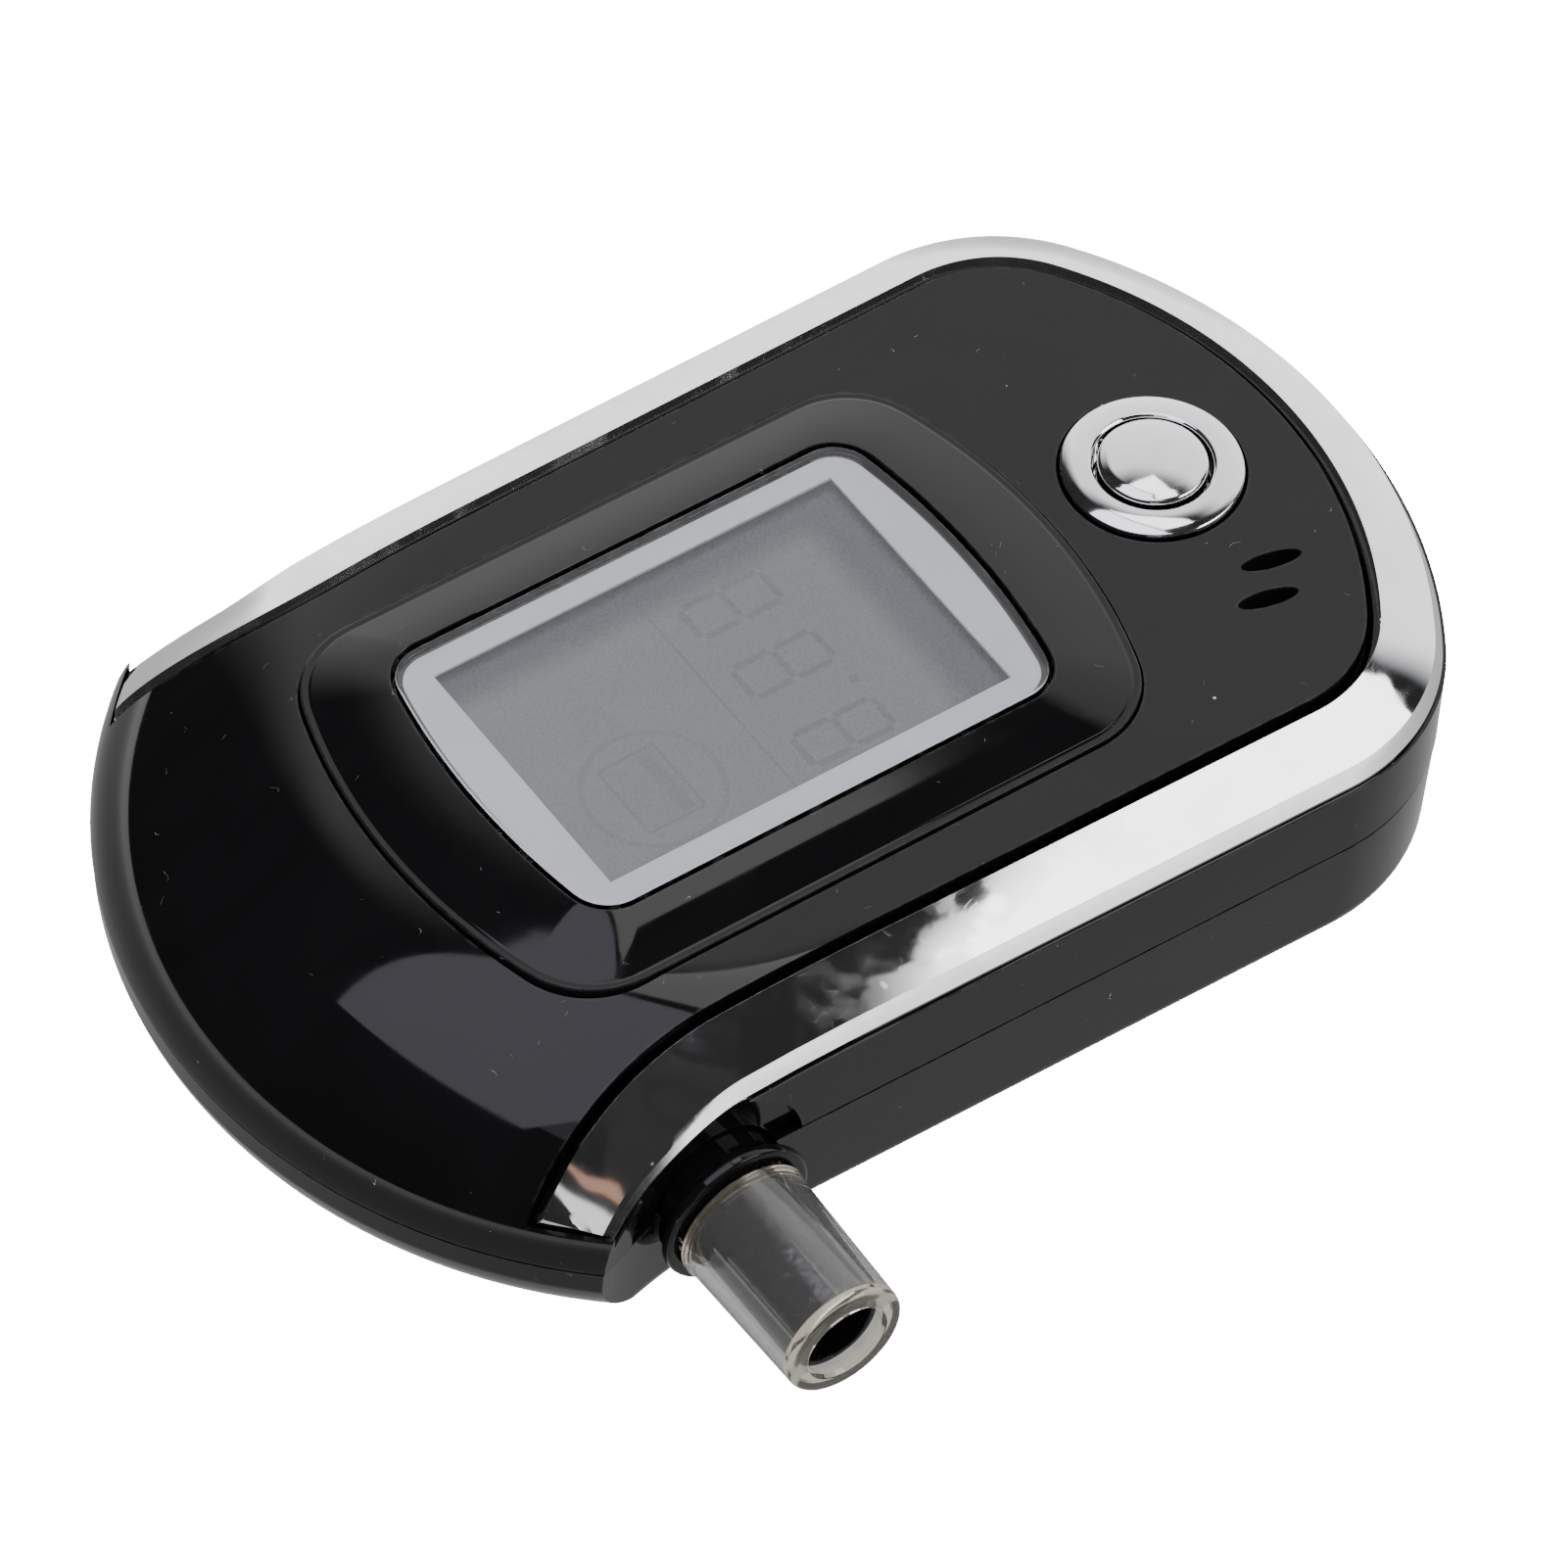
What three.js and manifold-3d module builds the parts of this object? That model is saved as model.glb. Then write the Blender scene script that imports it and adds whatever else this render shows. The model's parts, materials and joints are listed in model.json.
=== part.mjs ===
// Hand-held breath alcohol tester: a two-shell case with a chrome trim band, a raised display,
// a chrome power button and a plug-in mouthpiece. Millimetres, +Z up, lying on its back.
// The case is modelled about its own centreline (x along the length, bulb end at -x, mouthpiece
// at -y, back face at z = 0) and the whole group is then moved so that the origin is at the
// bottom centre of the box round everything.
import * as THREE from 'three';
import { mergeVertices } from 'three/addons/utils/BufferGeometryUtils.js';
import Module from 'manifold-3d';

const wasm = await Module();
wasm.setup();

// ---------------------------------------------------------------- driving sizes
const GAP = 0.3; // clearance between neighbouring pieces
const WALL = 1.8; // shell wall

// case outline in plan
const BODY_LENGTH = 99.4;
const WAIST_HALF = 28.65; // half width at the narrowest place, near the mouthpiece
const WAIST_FROM_BULB = 27.6; // distance of that place from the bulb tip
const SIDE_SLOPE = 0.015; // the sides widen slightly towards the button end
const FLARE_R = 35.5; // concave flare from the waist to the bulb corners
const BULB_R = 40.7; // arc across the bulb end
const END_R = 39.5; // arc across the button end
const CORNER_R = 16; // rounded corners at the button end

// heights above the back face
const TOP_Z = 20.2; // flat front face
const PART_Z = 9.8; // parting line along the sides
const PART_BULB_Z = 8.3; // parting line round the bulb end
const PART_RAMP_START = 2; // the parting line starts to fall this far before the waist
const PART_RAMP = 14; // length over which it falls
const DOME_START = 22; // radius, from the bulb arc's centre, where the dome begins to fall
const DOME_POWER = 1.8; // roundness of the dome's falling edge
const UNDER_R = 8; // roll-under of the back at the bulb end
const EDGE_R = 2; // rounded edge round the back

// trim band, measured inwards from the case outline
const BAND_IN = 5.5; // inner edge
const BAND_RIDGE = 0.95; // ridge between the face and the outer bevel
const BAND_OUT = 0.3; // outer edge
const BAND_DROP = 2.2; // fall of the face from inner edge to ridge
const BAND_DROP_TIP = 2.8; // the same at the tips
const BAND_BEVEL = 1.3; // height of the outer bevel
const BAND_BEVEL_TIP = 0.7;
const BAND_THICK = 1.5;
const BAND_TIP_MARGIN = 1.2; // tips stop this far inside the bulb arc
const BAND_TIP_TURN = 0.58; // how far round the flare the tips reach, in radians
const BAND_NARROWING = 0.5; // how much nearer the edge the inner side comes at the tips
const BAND_EDGE = 0.45; // chamfer along the inner edge
const BAND_FOOT = 0.2; // foot under the outer bevel
const CAVITY_SIDE_DROP = 5.9; // the shell's inner side stops this far below the front face, under the band
const CAVITY_EDGE_DROP = 3.3; // and its sloping roof ends this far below it

// display
const DISPLAY_FROM_BULB = 45.05; // window centre from the bulb tip
const WINDOW_LENGTH = 34;
const WINDOW_WIDTH = 22;
const LENS_LENGTH = 42.1;
const LENS_WIDTH = 27;
const LENS_END_R = 58;
const LENS_CORNER_R = 3.2;
const LENS_THICK = 1.0;
const LENS_RISE = 1.7; // lens top above the flat front face
const BEZEL_LENGTH = 56.4;
const BEZEL_WIDTH = 37.5;
const BEZEL_END_R = 44;
const BEZEL_CORNER_R = 7;
const FLANGE_DROP = 1.2; // underside of the bezel's ledge below the front plate
const FLANGE = 1.4; // ledge that holds the bezel, and the button ring, under the front plate
const BEZEL_STEP = 0.25; // foot of the bezel above the front face
const LCD_LENGTH = 39;
const LCD_WIDTH = 26.4;
const LCD_THICK = 1.8;
const GUIDE_THICK = 2.0;
const BOARD_THICK = 1.2;
const STRIP_INSET = 2.4; // the connector strip's near side, from the display's edge
const STRIP_WIDTH = 1.6;
const LED_HALF = 1.6;
const BOARD_MARGIN = 9.6; // from the waist to the board's side
const BOARD_CORNER = 2.5;
const CHIP = [5.6, 5, 0.9]; // length, width, height
const CRYSTAL = [5, 3.2, 0.9];
const CAPACITOR_R = 2.1;
const CAPACITOR_HEIGHT = 3.2;
const SWITCH_HALF = 3;
const SWITCH_HEIGHT = 1.15;
const SWITCH_FLOOR = 0.3;
const PLUNGER_R = 1.7;
const BUTTON_FLANGE_R = 5.1;
const BUTTON_FLANGE_DROP = 2.55; // underside of the button's flange below the front face
const BUTTON_FLANGE_THICK = 0.6;
const SOUNDER_R = 5;
const SOUNDER_WALL = 0.6;
const SOUNDER_Y = -13.5;

// button
const BUTTON_FROM_END = 16.9;
const RING_R = 6.7;
const RING_HOLE_R = 4.35;
const RING_SKIRT = 1; // width of the skirt that holds the ring under the front plate
const BUTTON_R = 4.0;
const BUTTON_RISE = 1.5;
const BUTTON_TRAVEL = 0.5;

// sound slots, placed from the button's centre along x and from the centreline along y
const SLOT_LENGTH = 4.7;
const SLOT_WIDTH = 1.3;
const SLOT_TURN = -0.22;
const SLOT_PLACES = [[2.1, -11.5], [-0.2, -14.25]];

// mouthpiece and socket, coaxial, along y
const MOUTH_FROM_BULB = 25.5;
const MOUTH_Z = 7.4;
const MOUTH_R = 5.15;
const MOUTH_TIP_R = 4.7;
const MOUTH_BORE_R = 3.05;
const MOUTH_LENGTH = 12.7;
const MOUTH_LIP = 0.6; // rounding of the lip
const SPIGOT_R = 3.8;
const SPIGOT_SETBACK = 1.5; // the spigot ends this far inside the mouthpiece's tip
const SPIGOT_BORE_R = 3.05;
const COLLAR_R = 5.95;
const COLLAR_THICK = 1.1;
const COLLAR_STANDOFF = 1.4; // of the collar from the case wall
const NECK_R = 5.1;
const RECESS_DEPTH = 0.9;
const RECESS_BACK = 7.6; // reach of the recess from the mouthpiece's axis, to the bulb end
const RECESS_FRONT = 2.4; // and to the button end
const SOCKET_FLANGE = 1.2;
const SOCKET_FLANGE_WIDTH = 1.6; // beyond the neck
const SEAL_SPACE = 1.7; // between the socket's flange and the duct
const SEAL_R = 0.55; // of the ring's own section
const DUCT_LENGTH = 7; // from the duct's mouth to the sensor
const DUCT_R_MAX = 5.4;
const DUCT_WALL = 0.9;
const DUCT_GRIP = 3; // overlap of duct and sensor
const SENSOR_LENGTH = 7;
const SENSOR_BASE = 1.7;
const LIP_THICK = 0.9; // locating lip of the rear shell

// cells and door
const CELL_D = 10.5;
const CELL_LENGTH = 44.5;
const CELL_COUNT = 3;
const CELL_PITCH_GAP = 0.4;
const SPRING_LENGTH = 2.6;
const PLATE_THICK = 0.5;
const CELL_NUB = 0.9;
const CELL_NUB_R = 1.9;
const CELL_EDGE = 0.5;
const SPRING_WIRE_R = 0.3;
const SPRING_TURNS = 3;
const SPRING_INSET = 2.35; // coil inside the cell's radius
const CONTACT_INSET = 1.85; // plate inside the cell's radius
const LEAD_R = 0.55;
const LEAD_Y = 6;
const DOOR_LIFT = 0.35; // the door's outer face sits this far inside the back face
const DOOR_THICK = 1.5;
const TONGUE_HALF = 1.4; // half width of the door's hooking tongues
const TONGUE_THICK = 1;
const THUMB_GROOVES = 3;
const THUMB_PITCH = 1.8;
const THUMB_HALF = 6;
const LATCH_SLIT = 0.6;
const BAY_WALL = 1.2;
const BAY_FROM_BULB = 33.2; // start of the bay, from the bulb tip

// case screws
const SCREW_SHANK_R = 1.1;
const SCREW_HEAD_R = 2.2;
const SCREW_HEAD_H = 1.4;
const SCREW_SEAT_Z = 2.6;
const SCREW_LENGTH = 11; // under the head
const BOSS_R = 3.0;
const COLUMN_TOP = 6; // rear shell's columns end here, the front shell's bosses start a gap above
const END_SCREW_INSET = 3.2; // between boss and wall at the button end
const BULB_SCREW_INSET = 9.4; // and at the bulb end
const END_SCREW_SIDE = 13.6; // from the waist's side to the button end's screws
const BOARD_SCREW_SIDE = 1.15; // between a case screw's boss and the board screw's boss
const BULB_SCREW_Y = 14;
const BOARD_SHANK_R = 0.8;
const BOARD_HEAD_R = 1.6;
const BOARD_HEAD_H = 0.9;
const BOARD_BOSS_R = 1.9;
const BOARD_SCREW_LENGTH = 3.9;
const SCREW_TIP = 0.8;
const SLOT_HALF = 0.25; // half width of the cross recess

// ---------------------------------------------------------------- derived places
const BULB_X = -BODY_LENGTH / 2;
const END_X = BODY_LENGTH / 2;
const BULB_CX = BULB_X + BULB_R;
const END_CX = END_X - END_R;
const WAIST_X = BULB_X + WAIST_FROM_BULB;
const DISPLAY_X = BULB_X + DISPLAY_FROM_BULB;
const BUTTON_X = END_X - BUTTON_FROM_END;
const MOUTH_X = BULB_X + MOUTH_FROM_BULB;
const DOME_HEIGHT = TOP_Z - PART_BULB_Z;

const LENS_TOP = TOP_Z + LENS_RISE;
const LENS_BOTTOM = LENS_TOP - LENS_THICK;
const MASK_TOP = LENS_BOTTOM - GAP;
const MASK_THICK = 0.3;
const LCD_TOP = MASK_TOP - MASK_THICK - GAP;
const LCD_BOTTOM = LCD_TOP - LCD_THICK;
const GUIDE_TOP = LCD_BOTTOM - GAP;
const GUIDE_BOTTOM = GUIDE_TOP - GUIDE_THICK;
const BOARD_TOP = GUIDE_BOTTOM - GAP;
const BOARD_BOTTOM = BOARD_TOP - BOARD_THICK;
const PLATE_UNDER = TOP_Z - WALL; // underside of the flat front plate
const FLANGE_UNDER = PLATE_UNDER - FLANGE_DROP;
const LIP_INSIDE = WALL + GAP + LIP_THICK; // inner side of the locating lip, from the case outline

const CELL_R = CELL_D / 2;
const SPRING_R = CELL_R - SPRING_INSET;
const CONTACT_HALF = CELL_R - CONTACT_INSET;
const CELL_Z = DOOR_LIFT + DOOR_THICK + GAP + CELL_R;
const CELL_PITCH = CELL_D + CELL_PITCH_GAP;
const BAY_TOP = CELL_Z + CELL_R + GAP;
const BAY_HALF = (CELL_COUNT * CELL_PITCH) / 2 + GAP;
const BAY_X0 = BULB_X + BAY_FROM_BULB;
const CELL_X0 = BAY_X0 + SPRING_LENGTH + 2 * GAP;
const CELL_X1 = CELL_X0 + CELL_LENGTH;
const BAY_X1 = CELL_X1 + SPRING_LENGTH + 2 * GAP;

// ---------------------------------------------------------------- materials
const finish = (color, roughness, metalness, opacity = 1) =>
  new THREE.MeshStandardMaterial({ color, roughness, metalness, opacity, transparent: opacity < 1 });
const BLACK_GLOSS = finish(0x202022, 0.2, 0);
const CHROME = finish(0xd8d9dd, 0.08, 1);
const CLEAR = finish(0xdfe6e6, 0.05, 0, 0.35);
const SILVER_PRINT = finish(0xcfd1d5, 0.5, 0);
const DISPLAY_GREY = finish(0x868788, 0.3, 0);
const MILKY = finish(0xe8e8e4, 0.5, 0);
const BOARD_GREEN = finish(0x1f5a35, 0.5, 0);
const DARK_PLASTIC = finish(0x18181a, 0.6, 0);
const RUBBER = finish(0x222222, 0.9, 0);
const STEEL = finish(0xb4b5b8, 0.35, 1);
const CELL_SLEEVE = finish(0x8a6a2c, 0.4, 0.2);
const RED_LEAD = finish(0xa02020, 0.6, 0);

// ---------------------------------------------------------------- solid helpers
function signedVolume(position, index) {
  const [a, b, c] = [new THREE.Vector3(), new THREE.Vector3(), new THREE.Vector3()];
  let sum = 0;
  for (let i = 0; i < index.length; i += 3) {
    a.fromArray(position, 3 * index[i]);
    b.fromArray(position, 3 * index[i + 1]);
    c.fromArray(position, 3 * index[i + 2]);
    sum += a.dot(b.cross(c));
  }
  return sum / 6;
}

// a closed geometry as a manifold solid, its skin turned outwards
function solid(geometry) {
  const bare = geometry.clone();
  for (const name of Object.keys(bare.attributes)) {
    if (name !== 'position') bare.deleteAttribute(name);
  }
  const merged = mergeVertices(bare, 1e-4);
  const position = merged.attributes.position.array;
  const from = merged.index.array;
  const index = [];
  for (let i = 0; i < from.length; i += 3) {
    const [a, b, c] = [from[i], from[i + 1], from[i + 2]];
    if (a !== b && b !== c && a !== c) index.push(a, b, c);
  }
  if (signedVolume(position, index) < 0) index.reverse();
  return new wasm.Manifold(new wasm.Mesh({
    numProp: 3,
    vertProperties: new Float32Array(position),
    triVerts: new Uint32Array(index),
  }));
}

function meshGeometry(body) {
  const { vertProperties, triVerts } = body.getMesh();
  const geometry = new THREE.BufferGeometry();
  geometry.setAttribute('position', new THREE.BufferAttribute(new Float32Array(vertProperties), 3));
  geometry.setIndex(new THREE.BufferAttribute(new Uint32Array(triVerts), 1));
  geometry.computeVertexNormals();
  return geometry;
}

const union = (...bodies) => bodies.reduce((a, b) => a.add(b));

function box(x0, x1, y0, y1, z0, z1) {
  const geometry = new THREE.BoxGeometry(x1 - x0, y1 - y0, z1 - z0);
  geometry.translate((x0 + x1) / 2, (y0 + y1) / 2, (z0 + z1) / 2);
  return solid(geometry);
}

// a closed profile of [radius, height] pairs turned about an upright axis through the origin
function turnedGeometry(profile, segments) {
  const points = profile.map(([r, z]) => new THREE.Vector2(r, z));
  if (profile[0][0] > 0) points.push(points[0].clone());
  const geometry = new THREE.LatheGeometry(points, segments);
  geometry.rotateX(Math.PI / 2);
  return geometry;
}

const turned = (profile, x = 0, y = 0, segments = 32) =>
  solid(turnedGeometry(profile, segments).translate(x, y, 0));

const rod = (r, z0, z1, x = 0, y = 0, segments = 32) =>
  turned([[0, z0], [r, z0], [r, z1], [0, z1]], x, y, segments);

// the same about an axis along y through (x, z); profile heights are y values
const turnedAlongY = (profile, x, z, segments = 32) =>
  solid(turnedGeometry(profile, segments).rotateX(-Math.PI / 2).translate(x, 0, z));

// the same about an axis along x through (y, z); profile heights are x values
const turnedAlongX = (profile, y, z, segments = 24) =>
  solid(turnedGeometry(profile, segments).rotateY(Math.PI / 2).translate(0, y, z));

// a plan outline of [x, y] pairs raised between two heights
function prism(points, z0, z1) {
  const shape = new THREE.Shape(points.map(([x, y]) => new THREE.Vector2(x, y)));
  const geometry = new THREE.ExtrudeGeometry(shape, { depth: z1 - z0, bevelEnabled: false });
  return solid(geometry.translate(0, 0, z0));
}

// closed rings of [x, y, z] points joined into one skin; open ends are closed by a fan
function lofted(rings) {
  const n = rings[0].length;
  const positions = rings.flat().flat();
  const index = [];
  for (let k = 0; k + 1 < rings.length; k += 1) {
    for (let i = 0; i < n; i += 1) {
      const [a, b] = [k * n + i, k * n + ((i + 1) % n)];
      index.push(a, b, b + n, a, b + n, a + n);
    }
  }
  for (const [ring, first, forward] of [[rings[0], 0, false], [rings.at(-1), (rings.length - 1) * n, true]]) {
    const centre = positions.length / 3;
    positions.push(...[0, 1, 2].map((axis) => ring.reduce((sum, p) => sum + p[axis], 0) / n));
    for (let i = 0; i < n; i += 1) {
      const [a, b] = [first + i, first + ((i + 1) % n)];
      index.push(...(forward ? [centre, a, b] : [centre, b, a]));
    }
  }
  const geometry = new THREE.BufferGeometry();
  geometry.setAttribute('position', new THREE.Float32BufferAttribute(positions, 3));
  geometry.setIndex(index);
  return solid(geometry);
}

// ---------------------------------------------------------------- case outline
const arcPoints = (cx, cy, r, from, to, steps) =>
  Array.from({ length: steps + 1 }, (_, i) => {
    const t = from + ((to - from) * i) / steps;
    return [cx + r * Math.cos(t), cy + r * Math.sin(t)];
  });

const END_STEPS = 6;
const CORNER_STEPS = 7;
const SIDE_POINTS = [0.34, 0.67]; // shares of the straight side

// upper half of the case outline, moved inwards by d, from the button end to the bulb tip;
// every stretch is concentric with its own arc, so all values of d give matching points
function outlineHalf(d) {
  const tilt = Math.atan(SIDE_SLOPE);
  const normal = [-Math.sin(tilt), Math.cos(tilt)];
  const waist = [WAIST_X - d * normal[0], WAIST_HALF - d * normal[1]];
  // corner arc, tangent to the side and to the end arc
  const inset = [WAIST_X - CORNER_R * normal[0], WAIST_HALF - CORNER_R * normal[1]];
  const along = [Math.cos(tilt), Math.sin(tilt)];
  const reach = END_R - CORNER_R;
  const [px, py] = [inset[0] - END_CX, inset[1]];
  const b = px * along[0] + py * along[1];
  const s = -b + Math.sqrt(b * b - (px * px + py * py) + reach * reach);
  const corner = [inset[0] + s * along[0], inset[1] + s * along[1]];
  const meet = Math.atan2(corner[1], corner[0] - END_CX);
  const end = arcPoints(END_CX, 0, END_R - d, 0, meet, END_STEPS);
  const round = arcPoints(corner[0], corner[1], CORNER_R - d, meet, Math.PI / 2 + tilt, CORNER_STEPS).slice(1);
  const side = SIDE_POINTS.map((t) => round.at(-1).map((v, i) => v + (waist[i] - v) * t));
  // concave flare, then the bulb corner where it meets the bulb arc
  const flareCentre = [WAIST_X + FLARE_R * normal[0], WAIST_HALF + FLARE_R * normal[1]];
  const [r1, r2] = [FLARE_R + d, BULB_R - d];
  const [dx, dy] = [flareCentre[0] - BULB_CX, flareCentre[1]];
  const span = Math.hypot(dx, dy);
  const a = (r2 * r2 - r1 * r1 + span * span) / (2 * span);
  const h = Math.sqrt(r2 * r2 - a * a);
  const tip = [BULB_CX + (a * dx - h * dy) / span, (a * dy + h * dx) / span];
  const turn = Math.atan2(tip[1] - flareCentre[1], tip[0] - flareCentre[0]);
  const flare = arcPoints(flareCentre[0], flareCentre[1], r1, tilt - Math.PI / 2, turn, 5);
  const bulb = arcPoints(BULB_CX, 0, r2, Math.atan2(tip[1], tip[0] - BULB_CX), Math.PI, 9).slice(1);
  return [...end, ...round, ...side, ...flare, ...bulb];
}

function outline(d) {
  const half = outlineHalf(d);
  const lower = half.slice(1, -1).reverse().map(([x, y]) => [x, -y]);
  return [...half, ...lower];
}

const ringAt = (d, z) => outline(d).map(([x, y]) => [x, y, z]);
const partingHeight = (x) => {
  const t = THREE.MathUtils.clamp((WAIST_X + PART_RAMP_START - x) / PART_RAMP, 0, 1);
  return PART_Z + (PART_BULB_Z - PART_Z) * t;
};

// ---------------------------------------------------------------- dome
const domeFall = (rho) => {
  const u = THREE.MathUtils.clamp((rho - DOME_START) / (BULB_R - DOME_START), 0, 1);
  return DOME_HEIGHT * (1 - (1 - u ** DOME_POWER) ** (1 / DOME_POWER));
};

const surfaceZ = (x, y) => (x < BULB_CX ? TOP_Z - domeFall(Math.hypot(x - BULB_CX, y)) : TOP_Z);

// everything under the front face: a turned dome at the bulb end, flat beyond it
function underFront(thickness) {
  const profile = [[0, -1]];
  const steps = 10;
  profile.push([BULB_R - thickness, -1]);
  for (let i = steps; i >= 0; i -= 1) {
    const rho = DOME_START + (BULB_R - DOME_START) * Math.sin((Math.PI / 2) * (i / steps));
    const fall = domeFall(rho) * (1 - thickness / DOME_HEIGHT);
    profile.push([rho - thickness * (i / steps), TOP_Z - thickness - fall]);
  }
  profile.push([0, TOP_Z - thickness]);
  const dome = turned(profile, BULB_CX, 0, 80);
  return dome.add(box(BULB_CX, END_X + 1, -60, 60, -1, TOP_Z - thickness));
}

// everything above the back face: rolled under at the bulb end, flat beyond it
function aboveBack(thickness) {
  const profile = [[0, thickness]];
  for (let i = 0; i <= 8; i += 1) {
    const t = (Math.PI / 2) * (i / 8);
    const r = BULB_R - UNDER_R + (UNDER_R - thickness) * Math.sin(t);
    profile.push([r, thickness + (UNDER_R - thickness) * (1 - Math.cos(t))]);
  }
  profile.push([BULB_R - thickness, TOP_Z + 5], [0, TOP_Z + 5]);
  return turned(profile, BULB_CX, 0, 80).add(box(BULB_CX, END_X + 1, -60, 60, thickness, TOP_Z + 5));
}

// slab between two heights measured from the parting line
function partingSlab(low, high) {
  const rampStart = WAIST_X + PART_RAMP_START;
  const xs = [BULB_X - 5, rampStart - PART_RAMP, rampStart, END_X + 5];
  const across = (z) => xs.map((x) => [x, partingHeight(x) + z]);
  const side = [...across(low), ...across(high).reverse()];
  const shape = new THREE.Shape(side.map(([x, z]) => new THREE.Vector2(x, z)));
  const geometry = new THREE.ExtrudeGeometry(shape, { depth: 120, bevelEnabled: false });
  geometry.rotateX(Math.PI / 2);
  geometry.translate(0, 60, 0);
  return solid(geometry);
}

// ---------------------------------------------------------------- trim band
// stations run from the far tip, round the button end, to the near tip; each gives the place on
// the case outline, its outward normal and how far it is into the tip (0 to 1)
function bandStations() {
  const flareSteps = 7;
  const half = [];
  const [outer, inner] = [outlineHalf(0), outlineHalf(1)];
  const waistIndex = END_STEPS + CORNER_STEPS + SIDE_POINTS.length + 1;
  for (let i = 0; i <= waistIndex; i += 1) {
    half.push({ at: outer[i], normal: [outer[i][0] - inner[i][0], outer[i][1] - inner[i][1]], tip: 0 });
  }
  const tilt = Math.atan(SIDE_SLOPE);
  const centre = [WAIST_X - FLARE_R * Math.sin(tilt), WAIST_HALF + FLARE_R * Math.cos(tilt)];
  for (let i = 1; i <= flareSteps; i += 1) {
    const turn = (BAND_TIP_TURN * i) / flareSteps;
    const angle = tilt - Math.PI / 2 - turn;
    const normal = [-Math.cos(angle), -Math.sin(angle)];
    const at = [centre[0] - FLARE_R * normal[0], centre[1] - FLARE_R * normal[1]];
    half.push({ at, normal, tip: i / flareSteps });
  }
  const across = ([x, y]) => [x, -y];
  const mirrored = half.slice(1).map(({ at, normal, tip }) => ({ at: across(at), normal: across(normal), tip }));
  return [...half.reverse(), ...mirrored];
}

// one cross-section of the band; grow makes the larger cutter that leaves clearance in the shell
function bandSection({ at, normal, tip }, grow) {
  const place = (d, z) => [at[0] - d * normal[0], at[1] - d * normal[1], z];
  const inner = BAND_IN - BAND_NARROWING * tip;
  const innerPoint = place(inner, 0);
  const topZ = surfaceZ(innerPoint[0], innerPoint[1]);
  const drop = THREE.MathUtils.lerp(BAND_DROP, BAND_DROP_TIP, Math.min(1, tip * 3));
  const bevel = THREE.MathUtils.lerp(BAND_BEVEL, BAND_BEVEL_TIP, tip);
  const ridgeZ = topZ - drop;
  const edgeZ = ridgeZ - bevel;
  if (grow === 0) {
    return [
      place(inner, topZ - BAND_THICK), place(BAND_RIDGE + 0.3, edgeZ - BAND_FOOT),
      place(BAND_OUT, edgeZ - BAND_FOOT), place(BAND_OUT, edgeZ), place(BAND_RIDGE, ridgeZ),
      place(inner - BAND_EDGE, topZ), place(inner, topZ - BAND_EDGE),
    ];
  }
  const [lift, beyond] = [4, -2];
  return [
    place(inner + grow, topZ - BAND_THICK - grow), place(BAND_RIDGE, edgeZ - BAND_FOOT - grow),
    place(beyond, edgeZ - BAND_FOOT - grow), place(beyond, edgeZ + lift), place(BAND_RIDGE, ridgeZ + lift),
    place(inner - BAND_EDGE, topZ + lift), place(inner + grow, topZ + lift),
  ];
}

const bandBlank = (grow) => lofted(bandStations().map((station) => bandSection(station, grow)));

function bandTipCut(extra) {
  const radius = BULB_R - BAND_TIP_MARGIN + extra;
  return rod(radius, -1, TOP_Z + 10, BULB_CX, 0, 128).add(box(BULB_CX, END_X + 5, -60, 60, -1, TOP_Z + 10));
}

const trimBand = () => bandBlank(0).intersect(bandTipCut(0));

// ---------------------------------------------------------------- display outlines
// a barrel outline: bowed ends, straight sides and rounded corners, centred on the window
function barrel(length, width, endR, cornerR, d = 0) {
  const cx = length / 2 - endR;
  const reach = endR - cornerR;
  const cy = width / 2 - cornerR;
  const corner = cx + Math.sqrt(reach * reach - cy * cy);
  const meet = Math.atan2(cy, corner - cx);
  const quarter = [
    ...arcPoints(cx, 0, endR - d, 0, meet, 4),
    ...arcPoints(corner, cy, cornerR - d, meet, Math.PI / 2, 4).slice(1),
  ];
  const left = quarter.slice().reverse().map(([x, y]) => [-x, y]);
  const top = [...quarter, ...left];
  const bottom = top.slice(1, -1).reverse().map(([x, y]) => [x, -y]);
  return [...top, ...bottom].map(([x, y]) => [x + DISPLAY_X, y]);
}

const bezelOutline = (d) => barrel(BEZEL_LENGTH, BEZEL_WIDTH, BEZEL_END_R, BEZEL_CORNER_R, d);
const lensOutline = (d) => barrel(LENS_LENGTH, LENS_WIDTH, LENS_END_R, LENS_CORNER_R, d);

function displayBox(length, width, z0, z1) {
  return box(DISPLAY_X - length / 2, DISPLAY_X + length / 2, -width / 2, width / 2, z0, z1);
}

// ---------------------------------------------------------------- places of the screws
const endScrewX = END_X - WALL - GAP - BOSS_R - END_SCREW_INSET;
const bulbScrewX = BULB_X + WALL + BULB_SCREW_INSET + BOSS_R;
const endScrewY = WAIST_HALF - END_SCREW_SIDE;
const boardX1 = endScrewX - BOSS_R - GAP;
const screwPlaces = [
  [endScrewX, endScrewY], [endScrewX, -endScrewY], [bulbScrewX, BULB_SCREW_Y], [bulbScrewX, -BULB_SCREW_Y],
];
const pastBay = BAY_X1 + BAY_WALL + GAP + BOARD_HEAD_R + 0.1;
const boardScrewPlaces = [
  [bulbScrewX - BOSS_R + BOARD_BOSS_R, 0],
  [Math.max(boardX1 - 0.5, pastBay), endScrewY - BOSS_R - BOARD_SCREW_SIDE - BOARD_BOSS_R],
];

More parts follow.
